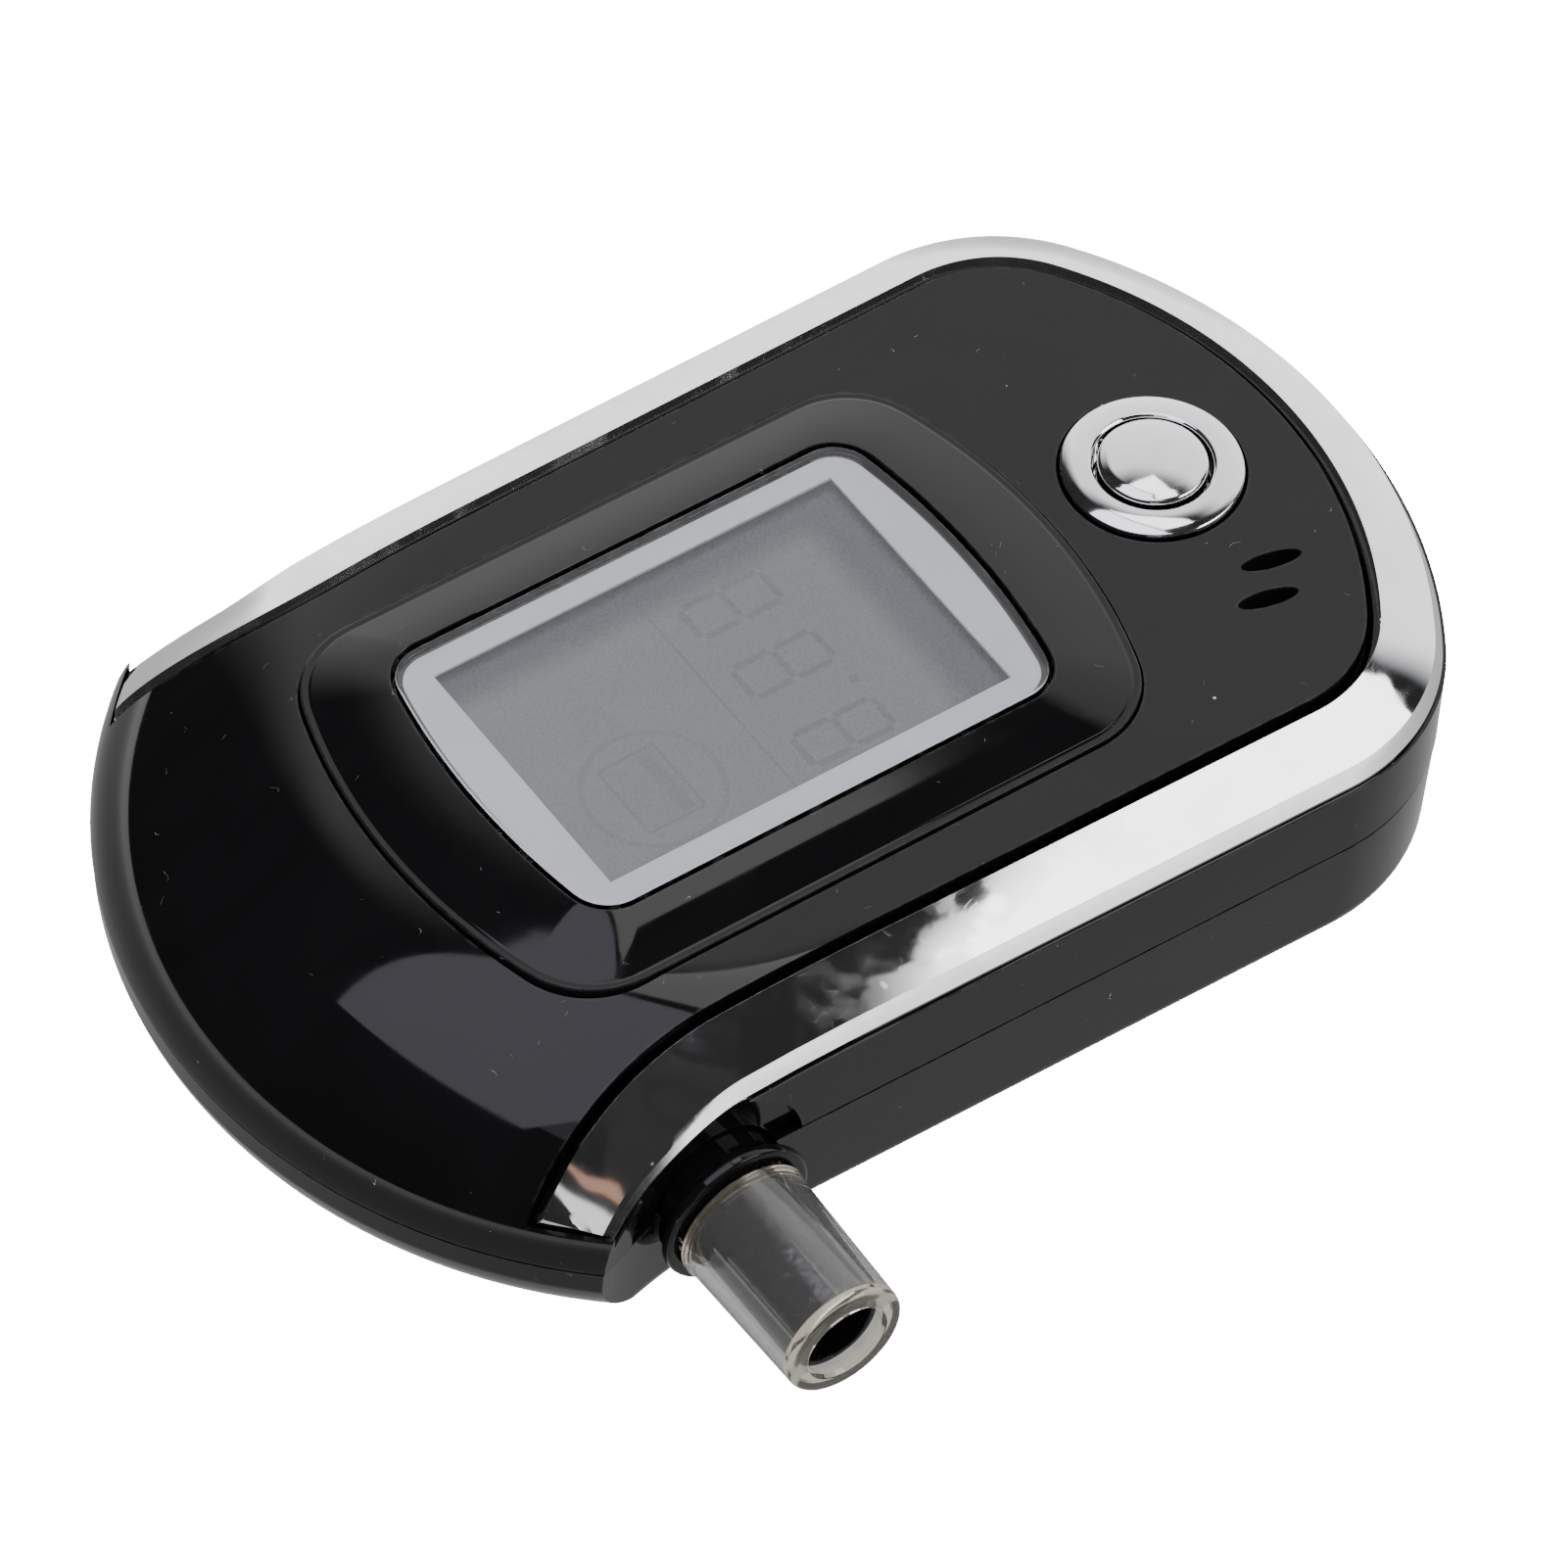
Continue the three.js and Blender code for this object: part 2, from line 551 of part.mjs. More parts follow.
// ---------------------------------------------------------------- shells
function mouthHole(extra) {
  const [outside, inside, r] = [-70, -WAIST_HALF / 2, NECK_R + extra];
  return turnedAlongY([[0, outside], [r, outside], [r, inside], [0, inside]], MOUTH_X, MOUTH_Z);
}

function recess() {
  const outside = prism(outline(-3), 0, TOP_Z).subtract(prism(outline(RECESS_DEPTH), -1, TOP_Z + 1));
  return outside.intersect(box(MOUTH_X - RECESS_BACK, MOUTH_X + RECESS_FRONT, -60, 0, PART_BULB_Z - 2, TOP_Z));
}

function frontShell() {
  let shell = prism(outline(0), 0, TOP_Z + 1).intersect(underFront(0));
  const cavity = lofted([
    ringAt(WALL, -1), ringAt(WALL, TOP_Z - CAVITY_SIDE_DROP), ringAt(BAND_IN + 0.5, TOP_Z - CAVITY_EDGE_DROP),
    ringAt(BAND_IN + 1.4, PLATE_UNDER),
  ]).intersect(underFront(WALL));
  shell = shell.subtract(cavity);
  const bosses = [
    ...screwPlaces.map(([x, y]) => rod(BOSS_R, COLUMN_TOP + GAP, TOP_Z - WALL / 2, x, y, 24)),
    ...boardScrewPlaces.map(([x, y]) => rod(BOARD_BOSS_R, BOARD_TOP + GAP, TOP_Z - WALL / 2, x, y, 16)),
  ];
  shell = union(shell, ...bosses.map((boss) => boss.intersect(underFront(WALL / 2))));
  shell = shell.subtract(bandBlank(GAP).intersect(bandTipCut(GAP)));
  shell = shell.intersect(partingSlab(GAP / 2, TOP_Z).add(union(...screwPlaces.map(([x, y]) =>
    rod(BOSS_R, COLUMN_TOP + GAP, PART_Z + 1, x, y, 24)))));
  shell = shell.subtract(prism(bezelOutline(-GAP), PLATE_UNDER - 3, TOP_Z + 3));
  shell = shell.subtract(prism(bezelOutline(-FLANGE - GAP), FLANGE_UNDER - GAP, PLATE_UNDER));
  shell = shell.subtract(rod(RING_R + GAP, PLATE_UNDER - 1, TOP_Z + 1, BUTTON_X, 0, 48));
  const caseHoleTop = SCREW_SEAT_Z + SCREW_LENGTH + 1;
  const boardHoleTop = BOARD_BOTTOM + BOARD_SCREW_LENGTH + GAP;
  const [caseHoleR, boardHoleR] = [SCREW_SHANK_R + GAP, BOARD_SHANK_R + GAP];
  for (const [x, y] of screwPlaces) shell = shell.subtract(rod(caseHoleR, 0, caseHoleTop, x, y, 12));
  for (const [x, y] of boardScrewPlaces) shell = shell.subtract(rod(boardHoleR, 0, boardHoleTop, x, y, 12));
  for (const slot of soundSlots()) shell = shell.subtract(slot);
  return shell.subtract(mouthHole(GAP)).subtract(recess());
}

function soundSlots() {
  const half = SLOT_LENGTH / 2 - SLOT_WIDTH / 2;
  const plan = [
    ...arcPoints(half, 0, SLOT_WIDTH / 2, -Math.PI / 2, Math.PI / 2, 6),
    ...arcPoints(-half, 0, SLOT_WIDTH / 2, Math.PI / 2, Math.PI * 1.5, 6),
  ];
  const [c, s] = [Math.cos(SLOT_TURN), Math.sin(SLOT_TURN)];
  return SLOT_PLACES.map(([dx, y]) => {
    const placed = plan.map(([u, v]) => [BUTTON_X + dx + u * c - v * s, y + u * s + v * c]);
    return prism(placed, PLATE_UNDER - 1, TOP_Z + 1);
  });
}

function rearShell() {
  const edge = [[1.3, 0], [0.75, 0.25], [0.32, 0.9], [0.3, 1]].map(([d, t]) => [d, t * EDGE_R]);
  const rounded = edge.slice(1).map(([d, z]) => ringAt(d, z));
  const rings = [ringAt(EDGE_R * 0.65 + 0.3, 0), ...rounded, ringAt(0, PART_Z + 1)];
  let shell = lofted(rings).intersect(aboveBack(0));
  const cavity = lofted([ringAt(WALL + 1.5, WALL), ringAt(WALL + 0.4, WALL + 1.5), ringAt(WALL, PART_Z + 2)]);
  shell = shell.subtract(cavity.intersect(aboveBack(WALL)));
  // locating lip inside the front shell
  const lip = lofted([ringAt(WALL + GAP, PART_BULB_Z - 4), ringAt(WALL + GAP, PART_Z + 1.4)])
    .subtract(lofted([ringAt(LIP_INSIDE, PART_BULB_Z - 5), ringAt(LIP_INSIDE, PART_Z + 2)]))
    .intersect(partingSlab(-2.5, 1.2))
    .intersect(aboveBack(WALL / 2));
  const bayOutside = BAY_HALF + BAY_WALL;
  const bay = box(BAY_X0 - BAY_WALL, BAY_X1 + BAY_WALL, -bayOutside, bayOutside, WALL / 2, BAY_TOP + 1);
  const columns = screwPlaces.map(([x, y]) => rod(BOSS_R, WALL / 2, COLUMN_TOP, x, y, 24));
  shell = union(shell.intersect(partingSlab(-TOP_Z, -GAP / 2)).add(shellBand(lip)), bay, ...columns);
  shell = shell.subtract(box(BAY_X0, BAY_X1, -BAY_HALF, BAY_HALF, -1, BAY_TOP));
  for (const [x, y] of screwPlaces) {
    shell = shell.subtract(rod(BOSS_R + GAP, COLUMN_TOP, TOP_Z, x, y, 24));
    shell = shell.subtract(rod(SCREW_HEAD_R + GAP, -1, SCREW_SEAT_Z, x, y, 24));
    shell = shell.subtract(rod(SCREW_SHANK_R + GAP, 0, COLUMN_TOP + 1, x, y, 16));
  }
  return shell.subtract(mouthHole(GAP));
}

// the lip is carried by a foot that reaches the rear shell's wall
function shellBand(lip) {
  const foot = lofted([ringAt(WALL / 2, PART_BULB_Z - 4), ringAt(WALL / 2, PART_Z + 1)])
    .subtract(lofted([ringAt(LIP_INSIDE, PART_BULB_Z - 5), ringAt(LIP_INSIDE, PART_Z + 2)]))
    .intersect(partingSlab(-2.5, -GAP / 2 - 0.2))
    .intersect(aboveBack(WALL / 2));
  return lip.add(foot);
}

// ---------------------------------------------------------------- display pieces
function displayBezel() {
  const raise = (points, z) => points.map(([x, y]) => [x, y, z]);
  const body = lofted([
    raise(bezelOutline(0), PLATE_UNDER - 0.6), raise(bezelOutline(0), TOP_Z + BEZEL_STEP),
    raise(bezelOutline(0.6), TOP_Z + BEZEL_STEP + 0.15), raise(lensOutline(-0.7), LENS_TOP),
  ]);
  const flange = prism(bezelOutline(-FLANGE), FLANGE_UNDER, PLATE_UNDER - GAP);
  return body.add(flange)
    .subtract(prism(lensOutline(-GAP), LENS_BOTTOM - GAP, LENS_TOP + 1))
    .subtract(displayBox(LCD_LENGTH + 2 * GAP, LCD_WIDTH + 2 * GAP, 0, LCD_TOP + GAP))
    .subtract(displayBox(WINDOW_LENGTH + 2, WINDOW_WIDTH + 2, 0, LENS_TOP + 1))
    .subtract(prism(lensOutline(0.2), MASK_TOP - MASK_THICK - GAP, LENS_TOP));
}

const displayLens = () => prism(lensOutline(0), LENS_BOTTOM, LENS_TOP);
const windowMask = () => prism(lensOutline(0.5), MASK_TOP - MASK_THICK, MASK_TOP)
  .subtract(displayBox(WINDOW_LENGTH, WINDOW_WIDTH, 0, LENS_TOP));
const lcdPanel = () => displayBox(LCD_LENGTH, LCD_WIDTH, LCD_BOTTOM, LCD_TOP);
const stripY = LCD_WIDTH / 2 - STRIP_INSET; // the connector strip lies under this edge of the display
const lightGuide = () => box(DISPLAY_X - LCD_LENGTH / 2 + 1, DISPLAY_X + LCD_LENGTH / 2 - 1,
  -LCD_WIDTH / 2 + 0.5, stripY - GAP, GUIDE_BOTTOM, GUIDE_TOP);
const lcdConnector = () => box(DISPLAY_X - LCD_LENGTH / 2 + 2, DISPLAY_X + LCD_LENGTH / 2 - 2,
  stripY, stripY + STRIP_WIDTH, GUIDE_BOTTOM, GUIDE_TOP);
const backlightLed = () => box(DISPLAY_X + LCD_LENGTH / 2 - 1 + GAP, DISPLAY_X + LCD_LENGTH / 2 + 0.8,
  -LED_HALF, LED_HALF, BOARD_TOP + GAP, FLANGE_UNDER - GAP);

// ---------------------------------------------------------------- board and its pieces
const boardHalf = WAIST_HALF - BOARD_MARGIN;

// the board has a tab at each end for its screw, between the case screw bosses
function mainBoard() {
  const c = BOARD_CORNER;
  const shoulder = bulbScrewX + BOSS_R + 2;
  const tabHalf = endScrewY - BOSS_R - GAP - 0.75;
  const half = [
    [boardScrewPlaces[0][0] - 2.4, 7], [shoulder, 9], [shoulder, boardHalf - c], [shoulder + c, boardHalf],
    [boardX1 - c, boardHalf], [boardX1, boardHalf - c], [boardX1, tabHalf],
    [boardScrewPlaces[1][0] + 2.1, tabHalf],
  ];
  const plan = [...half, ...half.slice().reverse().map(([x, y]) => [x, -y])];
  let board = prism(plan, BOARD_BOTTOM, BOARD_TOP);
  for (const [x, y] of boardScrewPlaces) board = board.subtract(rod(BOARD_SHANK_R + GAP, 0, TOP_Z, x, y, 16));
  return board;
}

const onBoard = (x, y, [length, width, height]) =>
  box(x - length / 2, x + length / 2, y - width / 2, y + width / 2, BOARD_TOP + GAP, BOARD_TOP + GAP + height);
const chipX = (DISPLAY_X + LCD_LENGTH / 2 + BUTTON_X - 3.6) / 2 + 0.6;
const controlChip = () => onBoard(chipX, 6.2, CHIP);
const crystal = () => onBoard(chipX, -6.4, CRYSTAL);
const supplyCapacitor = () => rod(CAPACITOR_R, BOARD_BOTTOM - GAP - CAPACITOR_HEIGHT,
  BOARD_BOTTOM - GAP, MOUTH_X, 12, 20);

const switchZ = BOARD_TOP + GAP;
const buttonFlangeZ = TOP_Z - BUTTON_FLANGE_DROP;
function switchBody() {
  const [x0, x1] = [BUTTON_X - SWITCH_HALF, BUTTON_X + SWITCH_HALF];
  return box(x0, x1, -SWITCH_HALF, SWITCH_HALF, switchZ, switchZ + SWITCH_HEIGHT)
    .subtract(rod(PLUNGER_R + GAP, switchZ + SWITCH_FLOOR, TOP_Z, BUTTON_X, 0, 20));
}
const plungerFoot = switchZ + SWITCH_FLOOR + BUTTON_TRAVEL + 0.1;
const switchPlunger = () => rod(PLUNGER_R, plungerFoot, buttonFlangeZ - GAP, BUTTON_X, 0, 20);

function buttonRing() {
  const t = TOP_Z;
  const [skirt, skirtR] = [PLATE_UNDER - GAP, RING_R + RING_SKIRT];
  return turned([
    [RING_HOLE_R, t - 1.5], [RING_R, t - 1.5], [RING_R, t + 0.1], [RING_R - 0.35, t + 0.4],
    [RING_HOLE_R + 0.5, t + 0.85], [RING_HOLE_R, t + 0.65],
  ], BUTTON_X, 0, 48).add(turned([
    [RING_R - 0.8, skirt - 0.3], [skirtR, skirt - 0.3], [skirtR, skirt], [RING_R - 0.2, skirt],
    [RING_R - 0.2, t - 1.2], [RING_R - 0.8, t - 1.2],
  ], BUTTON_X, 0, 48));
}

function powerButton() {
  const t = TOP_Z;
  return turned([
    [0, buttonFlangeZ], [BUTTON_FLANGE_R, buttonFlangeZ], [BUTTON_FLANGE_R, buttonFlangeZ + BUTTON_FLANGE_THICK],
    [BUTTON_R, buttonFlangeZ + BUTTON_FLANGE_THICK],
    [BUTTON_R, t + 0.55], [BUTTON_R - 0.25, t + 0.8], [BUTTON_R - 0.6, t + 0.9],
    [BUTTON_R - 1, t + BUTTON_RISE - 0.3],
    [BUTTON_R - 2.2, t + BUTTON_RISE - 0.07], [0, t + BUTTON_RISE],
  ], BUTTON_X, 0, 40);
}

function buzzer() {
  const [floor, top] = [BOARD_TOP + GAP, PLATE_UNDER - GAP];
  const [hole, inner, base] = [SOUNDER_WALL, SOUNDER_R - SOUNDER_WALL, floor + 0.4];
  return turned([
    [hole, top], [hole, top - 1], [inner, top - 1], [inner, base], [0, base], [0, floor], [SOUNDER_R, floor],
    [SOUNDER_R, top],
  ], BUTTON_X + 0.1, SOUNDER_Y, 28);
}

// ---------------------------------------------------------------- breath path
const wallY = -WAIST_HALF - (MOUTH_X < WAIST_X ? (WAIST_X - MOUTH_X) ** 2 / (2 * FLARE_R) : 0);
const collarIn = wallY - COLLAR_STANDOFF;
const collarOut = collarIn - COLLAR_THICK;
const mouthBase = collarOut - GAP;
const mouthTip = mouthBase - MOUTH_LENGTH;
const spigotTip = mouthTip + SPIGOT_SETBACK;
const flangeY = wallY + WALL + LIP_THICK + 2 * GAP; // inner flange, just behind the locating lip

// collar and spigot outside, neck through the wall, and a flange inside the locating lip
function mouthpieceSocket() {
  const [flangeR, flangeBack] = [NECK_R + SOCKET_FLANGE_WIDTH, flangeY + SOCKET_FLANGE];
  const body = turnedAlongY([
    [SPIGOT_BORE_R, spigotTip], [SPIGOT_R - 0.3, spigotTip], [SPIGOT_R, spigotTip + 0.5], [SPIGOT_R, collarOut],
    [COLLAR_R - 0.35, collarOut], [COLLAR_R, collarOut + 0.35], [COLLAR_R, collarIn - 0.25],
    [COLLAR_R - 0.25, collarIn], [NECK_R, collarIn], [NECK_R, flangeY], [flangeR, flangeY], [flangeR, flangeBack],
    [SPIGOT_BORE_R, flangeBack],
  ], MOUTH_X, MOUTH_Z, 36);
  return body.intersect(box(-60, 60, -60, 0, WALL + GAP, TOP_Z).add(box(-60, 60, -60, collarOut + 3, 0, TOP_Z)));
}

function mouthpiece() {
  const lipTurn = MOUTH_LIP * (1 - Math.SQRT1_2);
  const rim = 0.1; // proud of the tapered tube, at its open end
  return turnedAlongY([
    [SPIGOT_R + GAP, mouthBase], [SPIGOT_R + GAP, spigotTip - GAP], [MOUTH_BORE_R, spigotTip - GAP - 0.4],
    [MOUTH_BORE_R, mouthTip + 0.3], [MOUTH_BORE_R + 0.3, mouthTip], [MOUTH_TIP_R - MOUTH_LIP, mouthTip],
    [MOUTH_TIP_R - lipTurn, mouthTip + lipTurn], [MOUTH_TIP_R, mouthTip + MOUTH_LIP],
    [MOUTH_R - rim, mouthBase - 0.7], [MOUTH_R, mouthBase - 0.5], [MOUTH_R, mouthBase],
  ], MOUTH_X, MOUTH_Z, 40);
}

const ductFront = flangeY + SOCKET_FLANGE + SEAL_SPACE;
const sensorMouth = ductFront + DUCT_LENGTH;
const ductR = Math.min(MOUTH_Z - WALL - GAP, DUCT_R_MAX);

function ductSeal() {
  const [r, y] = [(SPIGOT_BORE_R + ductR) / 2, ductFront - SEAL_SPACE / 2];
  const section = arcPoints(r, y, SEAL_R, 0, 2 * Math.PI * (7 / 8), 7);
  return turnedAlongY(section, MOUTH_X, MOUTH_Z, 24);
}

function airDuct() {
  const [inner, back] = [ductR - DUCT_WALL, sensorMouth + DUCT_GRIP];
  return turnedAlongY([
    [SPIGOT_BORE_R, ductFront], [ductR, ductFront], [ductR, back], [inner, back],
    [inner, ductFront + DUCT_WALL + (inner - SPIGOT_BORE_R) / 2], [SPIGOT_BORE_R, ductFront + DUCT_WALL],
  ], MOUTH_X, MOUTH_Z, 28);
}

const sensorR = ductR - DUCT_WALL - GAP;
const sensorBack = sensorMouth + SENSOR_LENGTH;
const sensorCan = () => turnedAlongY([
  [0, sensorBack], [sensorR, sensorBack], [sensorR, sensorMouth + 0.4], [sensorR - 0.6, sensorMouth],
  [0, sensorMouth],
], MOUTH_X, MOUTH_Z, 28);

function sensorBase() {
  const [front, back, r] = [sensorBack + GAP, sensorBack + GAP + SENSOR_BASE, sensorR + 0.6];
  return turnedAlongY([[0, back], [r, back], [r, front], [0, front]], MOUTH_X, MOUTH_Z, 28);
}

// ---------------------------------------------------------------- cells, contacts and leads
const cellY = (i) => (i - (CELL_COUNT - 1) / 2) * CELL_PITCH;
const nubAtEnd = (i) => i % 2 === 0;

function cell(i) {
  const shoulder = CELL_X1 - CELL_NUB;
  const ends = [
    [0, CELL_X0], [CELL_R - CELL_EDGE, CELL_X0], [CELL_R, CELL_X0 + CELL_EDGE], [CELL_R, shoulder - CELL_EDGE],
    [CELL_R - CELL_EDGE, shoulder], [CELL_NUB_R, shoulder], [CELL_NUB_R, CELL_X1], [0, CELL_X1],
  ];
  const middle = (CELL_X0 + CELL_X1) / 2;
  const profile = nubAtEnd(i) ? ends : ends.map(([r, x]) => [r, 2 * middle - x]).reverse();
  return turnedAlongX(profile, cellY(i), CELL_Z, 28);
}

function wireSection(r, sides) {
  const ring = arcPoints(0, 0, r, 0, (2 * Math.PI * (sides - 1)) / sides, sides - 1);
  return new THREE.Shape(ring.map(([a, b]) => new THREE.Vector2(a, b)));
}

// coil contact at the flat end of a cell
function cellSpring(i) {
  const height = SPRING_LENGTH - 2 * SPRING_WIRE_R;
  const start = nubAtEnd(i) ? BAY_X0 + GAP + SPRING_WIRE_R : BAY_X1 - GAP - SPRING_WIRE_R - height;
  class Helix extends THREE.Curve {
    getPoint(t, target = new THREE.Vector3()) {
      const angle = 2 * Math.PI * SPRING_TURNS * t;
      const [dy, dz] = [SPRING_R * Math.cos(angle), SPRING_R * Math.sin(angle)];
      return target.set(start + height * t, cellY(i) + dy, CELL_Z + dz);
    }
  }
  const along = { steps: SPRING_TURNS * 12, extrudePath: new Helix() };
  return solid(new THREE.ExtrudeGeometry(wireSection(SPRING_WIRE_R, 6), along));
}

// plate contact at the button end of a cell
function cellContact(i) {
  const x = nubAtEnd(i) ? BAY_X1 - GAP - PLATE_THICK : BAY_X0 + GAP;
  const reach = SPRING_LENGTH - GAP - PLATE_THICK;
  const plate = box(x, x + PLATE_THICK, cellY(i) - CONTACT_HALF, cellY(i) + CONTACT_HALF,
    CELL_Z - CONTACT_HALF - 0.2, CELL_Z + CONTACT_HALF + 0.2);
  const dimple = nubAtEnd(i) ? [[0, x - reach], [1.2, x - reach], [1.2, x + 0.1], [0, x + 0.1]]
    : [[0, x + 0.1], [1.2, x + 0.1], [1.2, x + PLATE_THICK + reach], [0, x + PLATE_THICK + reach]];
  return plate.add(turnedAlongX(dimple, cellY(i), CELL_Z, 12));
}

function lead(y) {
  const x = BAY_X1 + BAY_WALL + GAP + 0.6;
  const path = new THREE.CatmullRomCurve3([
    new THREE.Vector3(x, y, CELL_Z - 2), new THREE.Vector3(x + 0.8, y, CELL_Z + 1),
    new THREE.Vector3(x + 0.7, y, CELL_Z + 4), new THREE.Vector3(x + 0.9, y, BOARD_BOTTOM - GAP),
  ]);
  return solid(new THREE.ExtrudeGeometry(wireSection(LEAD_R, 8), { steps: 10, extrudePath: path }));
}

// ---------------------------------------------------------------- battery door
const doorHingeX = BAY_X0 + GAP + DOOR_THICK / 2;
const doorHingeZ = DOOR_LIFT + DOOR_THICK / 2;

function batteryDoor() {
  const half = BAY_HALF - GAP;
  const x1 = BAY_X1 - GAP;
  const plate = box(doorHingeX, x1, -half, half, DOOR_LIFT, DOOR_LIFT + DOOR_THICK);
  const nose = turnedAlongY([[0, -half], [DOOR_THICK / 2, -half], [DOOR_THICK / 2, half], [0, half]],
    doorHingeX, doorHingeZ, 24);
  let door = plate.add(nose);
  const top = DOOR_LIFT + DOOR_THICK;
  for (const y of [-CELL_PITCH / 2, CELL_PITCH / 2]) {
    const [side0, side1, foot] = [y - TONGUE_HALF, y + TONGUE_HALF, doorHingeX + BAY_WALL];
    door = door.add(box(doorHingeX, foot, side0, side1, top - 0.4, WALL + GAP + TONGUE_THICK + 0.05));
    door = door.add(box(BAY_X0 - BAY_WALL - GAP, foot, side0, side1, WALL + GAP, WALL + GAP + TONGUE_THICK));
  }
  // thumb ridges, cut as three shallow grooves near the free edge, and the latch tongue's slots
  for (let i = 0; i < THUMB_GROOVES; i += 1) {
    const x = x1 - 10 + i * THUMB_PITCH;
    door = door.subtract(box(x, x + 0.8, -THUMB_HALF, THUMB_HALF, DOOR_LIFT - 1, DOOR_LIFT + 0.4));
  }
  for (const y of [-4.2, 4.2 - LATCH_SLIT]) door = door.subtract(box(x1 - 5, x1 + 1, y, y + LATCH_SLIT, 0, TOP_Z));
  return door;
}

// the door's tongues reach over the bay's end wall through two notches
function doorNotches() {
  return union(...[-CELL_PITCH / 2, CELL_PITCH / 2].map((y) =>
    box(BAY_X0 - BAY_WALL - 1, BAY_X0 + 1, y - TONGUE_HALF - GAP, y + TONGUE_HALF + GAP, WALL, CELL_Z - 1.5)));
}

// ---------------------------------------------------------------- screws
function screw(x, y, headZ, headR, headH, shankR, length) {
  const recessHalf = headR * 0.5;
  return turned([[0, headZ], [headR, headZ], [headR, headZ + headH], [shankR, headZ + headH],
    [shankR, headZ + headH + length - SCREW_TIP], [0, headZ + headH + length]], x, y, 16)
    .subtract(box(x - recessHalf, x + recessHalf, y - SLOT_HALF, y + SLOT_HALF, headZ - 1, headZ + headH / 2))
    .subtract(box(x - SLOT_HALF, x + SLOT_HALF, y - recessHalf, y + recessHalf, headZ - 1, headZ + headH / 2));
}

// ---------------------------------------------------------------- assembly
const device = new THREE.Group();
function add(name, body, material) {
  const mesh = new THREE.Mesh(meshGeometry(body), material);
  mesh.name = name;
  device.add(mesh);
}

add('front_shell', frontShell(), BLACK_GLOSS);
add('rear_shell', rearShell().subtract(doorNotches()), BLACK_GLOSS);
add('trim_band', trimBand(), CHROME);
add('display_bezel', displayBezel(), BLACK_GLOSS);
add('display_lens', displayLens(), CLEAR);
add('window_mask', windowMask(), SILVER_PRINT);
add('lcd_panel', lcdPanel(), DISPLAY_GREY);
add('light_guide', lightGuide(), MILKY);
add('backlight_led', backlightLed(), MILKY);
add('lcd_connector', lcdConnector(), RUBBER);
add('main_board', mainBoard(), BOARD_GREEN);
add('control_chip', controlChip(), DARK_PLASTIC);
add('crystal', crystal(), STEEL);
add('supply_capacitor', supplyCapacitor(), DARK_PLASTIC);
add('switch_body', switchBody(), DARK_PLASTIC);
add('switch_plunger', switchPlunger(), DARK_PLASTIC);
add('button_ring', buttonRing(), CHROME);
add('power_button', powerButton(), CHROME);
add('sounder', buzzer(), DARK_PLASTIC);
add('mouthpiece_socket', mouthpieceSocket(), BLACK_GLOSS);
add('mouthpiece', mouthpiece(), CLEAR);
add('duct_seal', ductSeal(), RUBBER);
add('air_duct', airDuct(), DARK_PLASTIC);
add('sensor_can', sensorCan(), STEEL);
add('sensor_base', sensorBase(), DARK_PLASTIC);
add('battery_door', batteryDoor(), BLACK_GLOSS);
for (let i = 0; i < CELL_COUNT; i += 1) {
  add(`cell_${i + 1}`, cell(i), CELL_SLEEVE);
  add(`cell_spring_${i + 1}`, cellSpring(i), STEEL);
  add(`cell_contact_${i + 1}`, cellContact(i), STEEL);
}
add('supply_lead_red', lead(LEAD_Y), RED_LEAD);
add('supply_lead_black', lead(-LEAD_Y), RUBBER);
const caseScrewZ = SCREW_SEAT_Z - SCREW_HEAD_H - GAP;
screwPlaces.forEach(([x, y], i) => {
  const body = screw(x, y, caseScrewZ, SCREW_HEAD_R, SCREW_HEAD_H, SCREW_SHANK_R, SCREW_LENGTH);
  add(`case_screw_${i + 1}`, body, STEEL);
});
const boardScrewZ = BOARD_BOTTOM - GAP - BOARD_HEAD_H;
boardScrewPlaces.forEach(([x, y], i) => {
  const body = screw(x, y, boardScrewZ, BOARD_HEAD_R, BOARD_HEAD_H, BOARD_SHANK_R, BOARD_SCREW_LENGTH);
  add(`board_screw_${i + 1}`, body, STEEL);
});

// the origin goes to the bottom centre of the box round case and mouthpiece
const bounds = new THREE.Box3().setFromObject(device);
const centre = bounds.getCenter(new THREE.Vector3());
device.position.set(-centre.x, -centre.y, -bounds.min.z);
device.updateMatrixWorld(true);

export default device;
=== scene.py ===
import json
import math

import bpy
from mathutils import Matrix, Vector


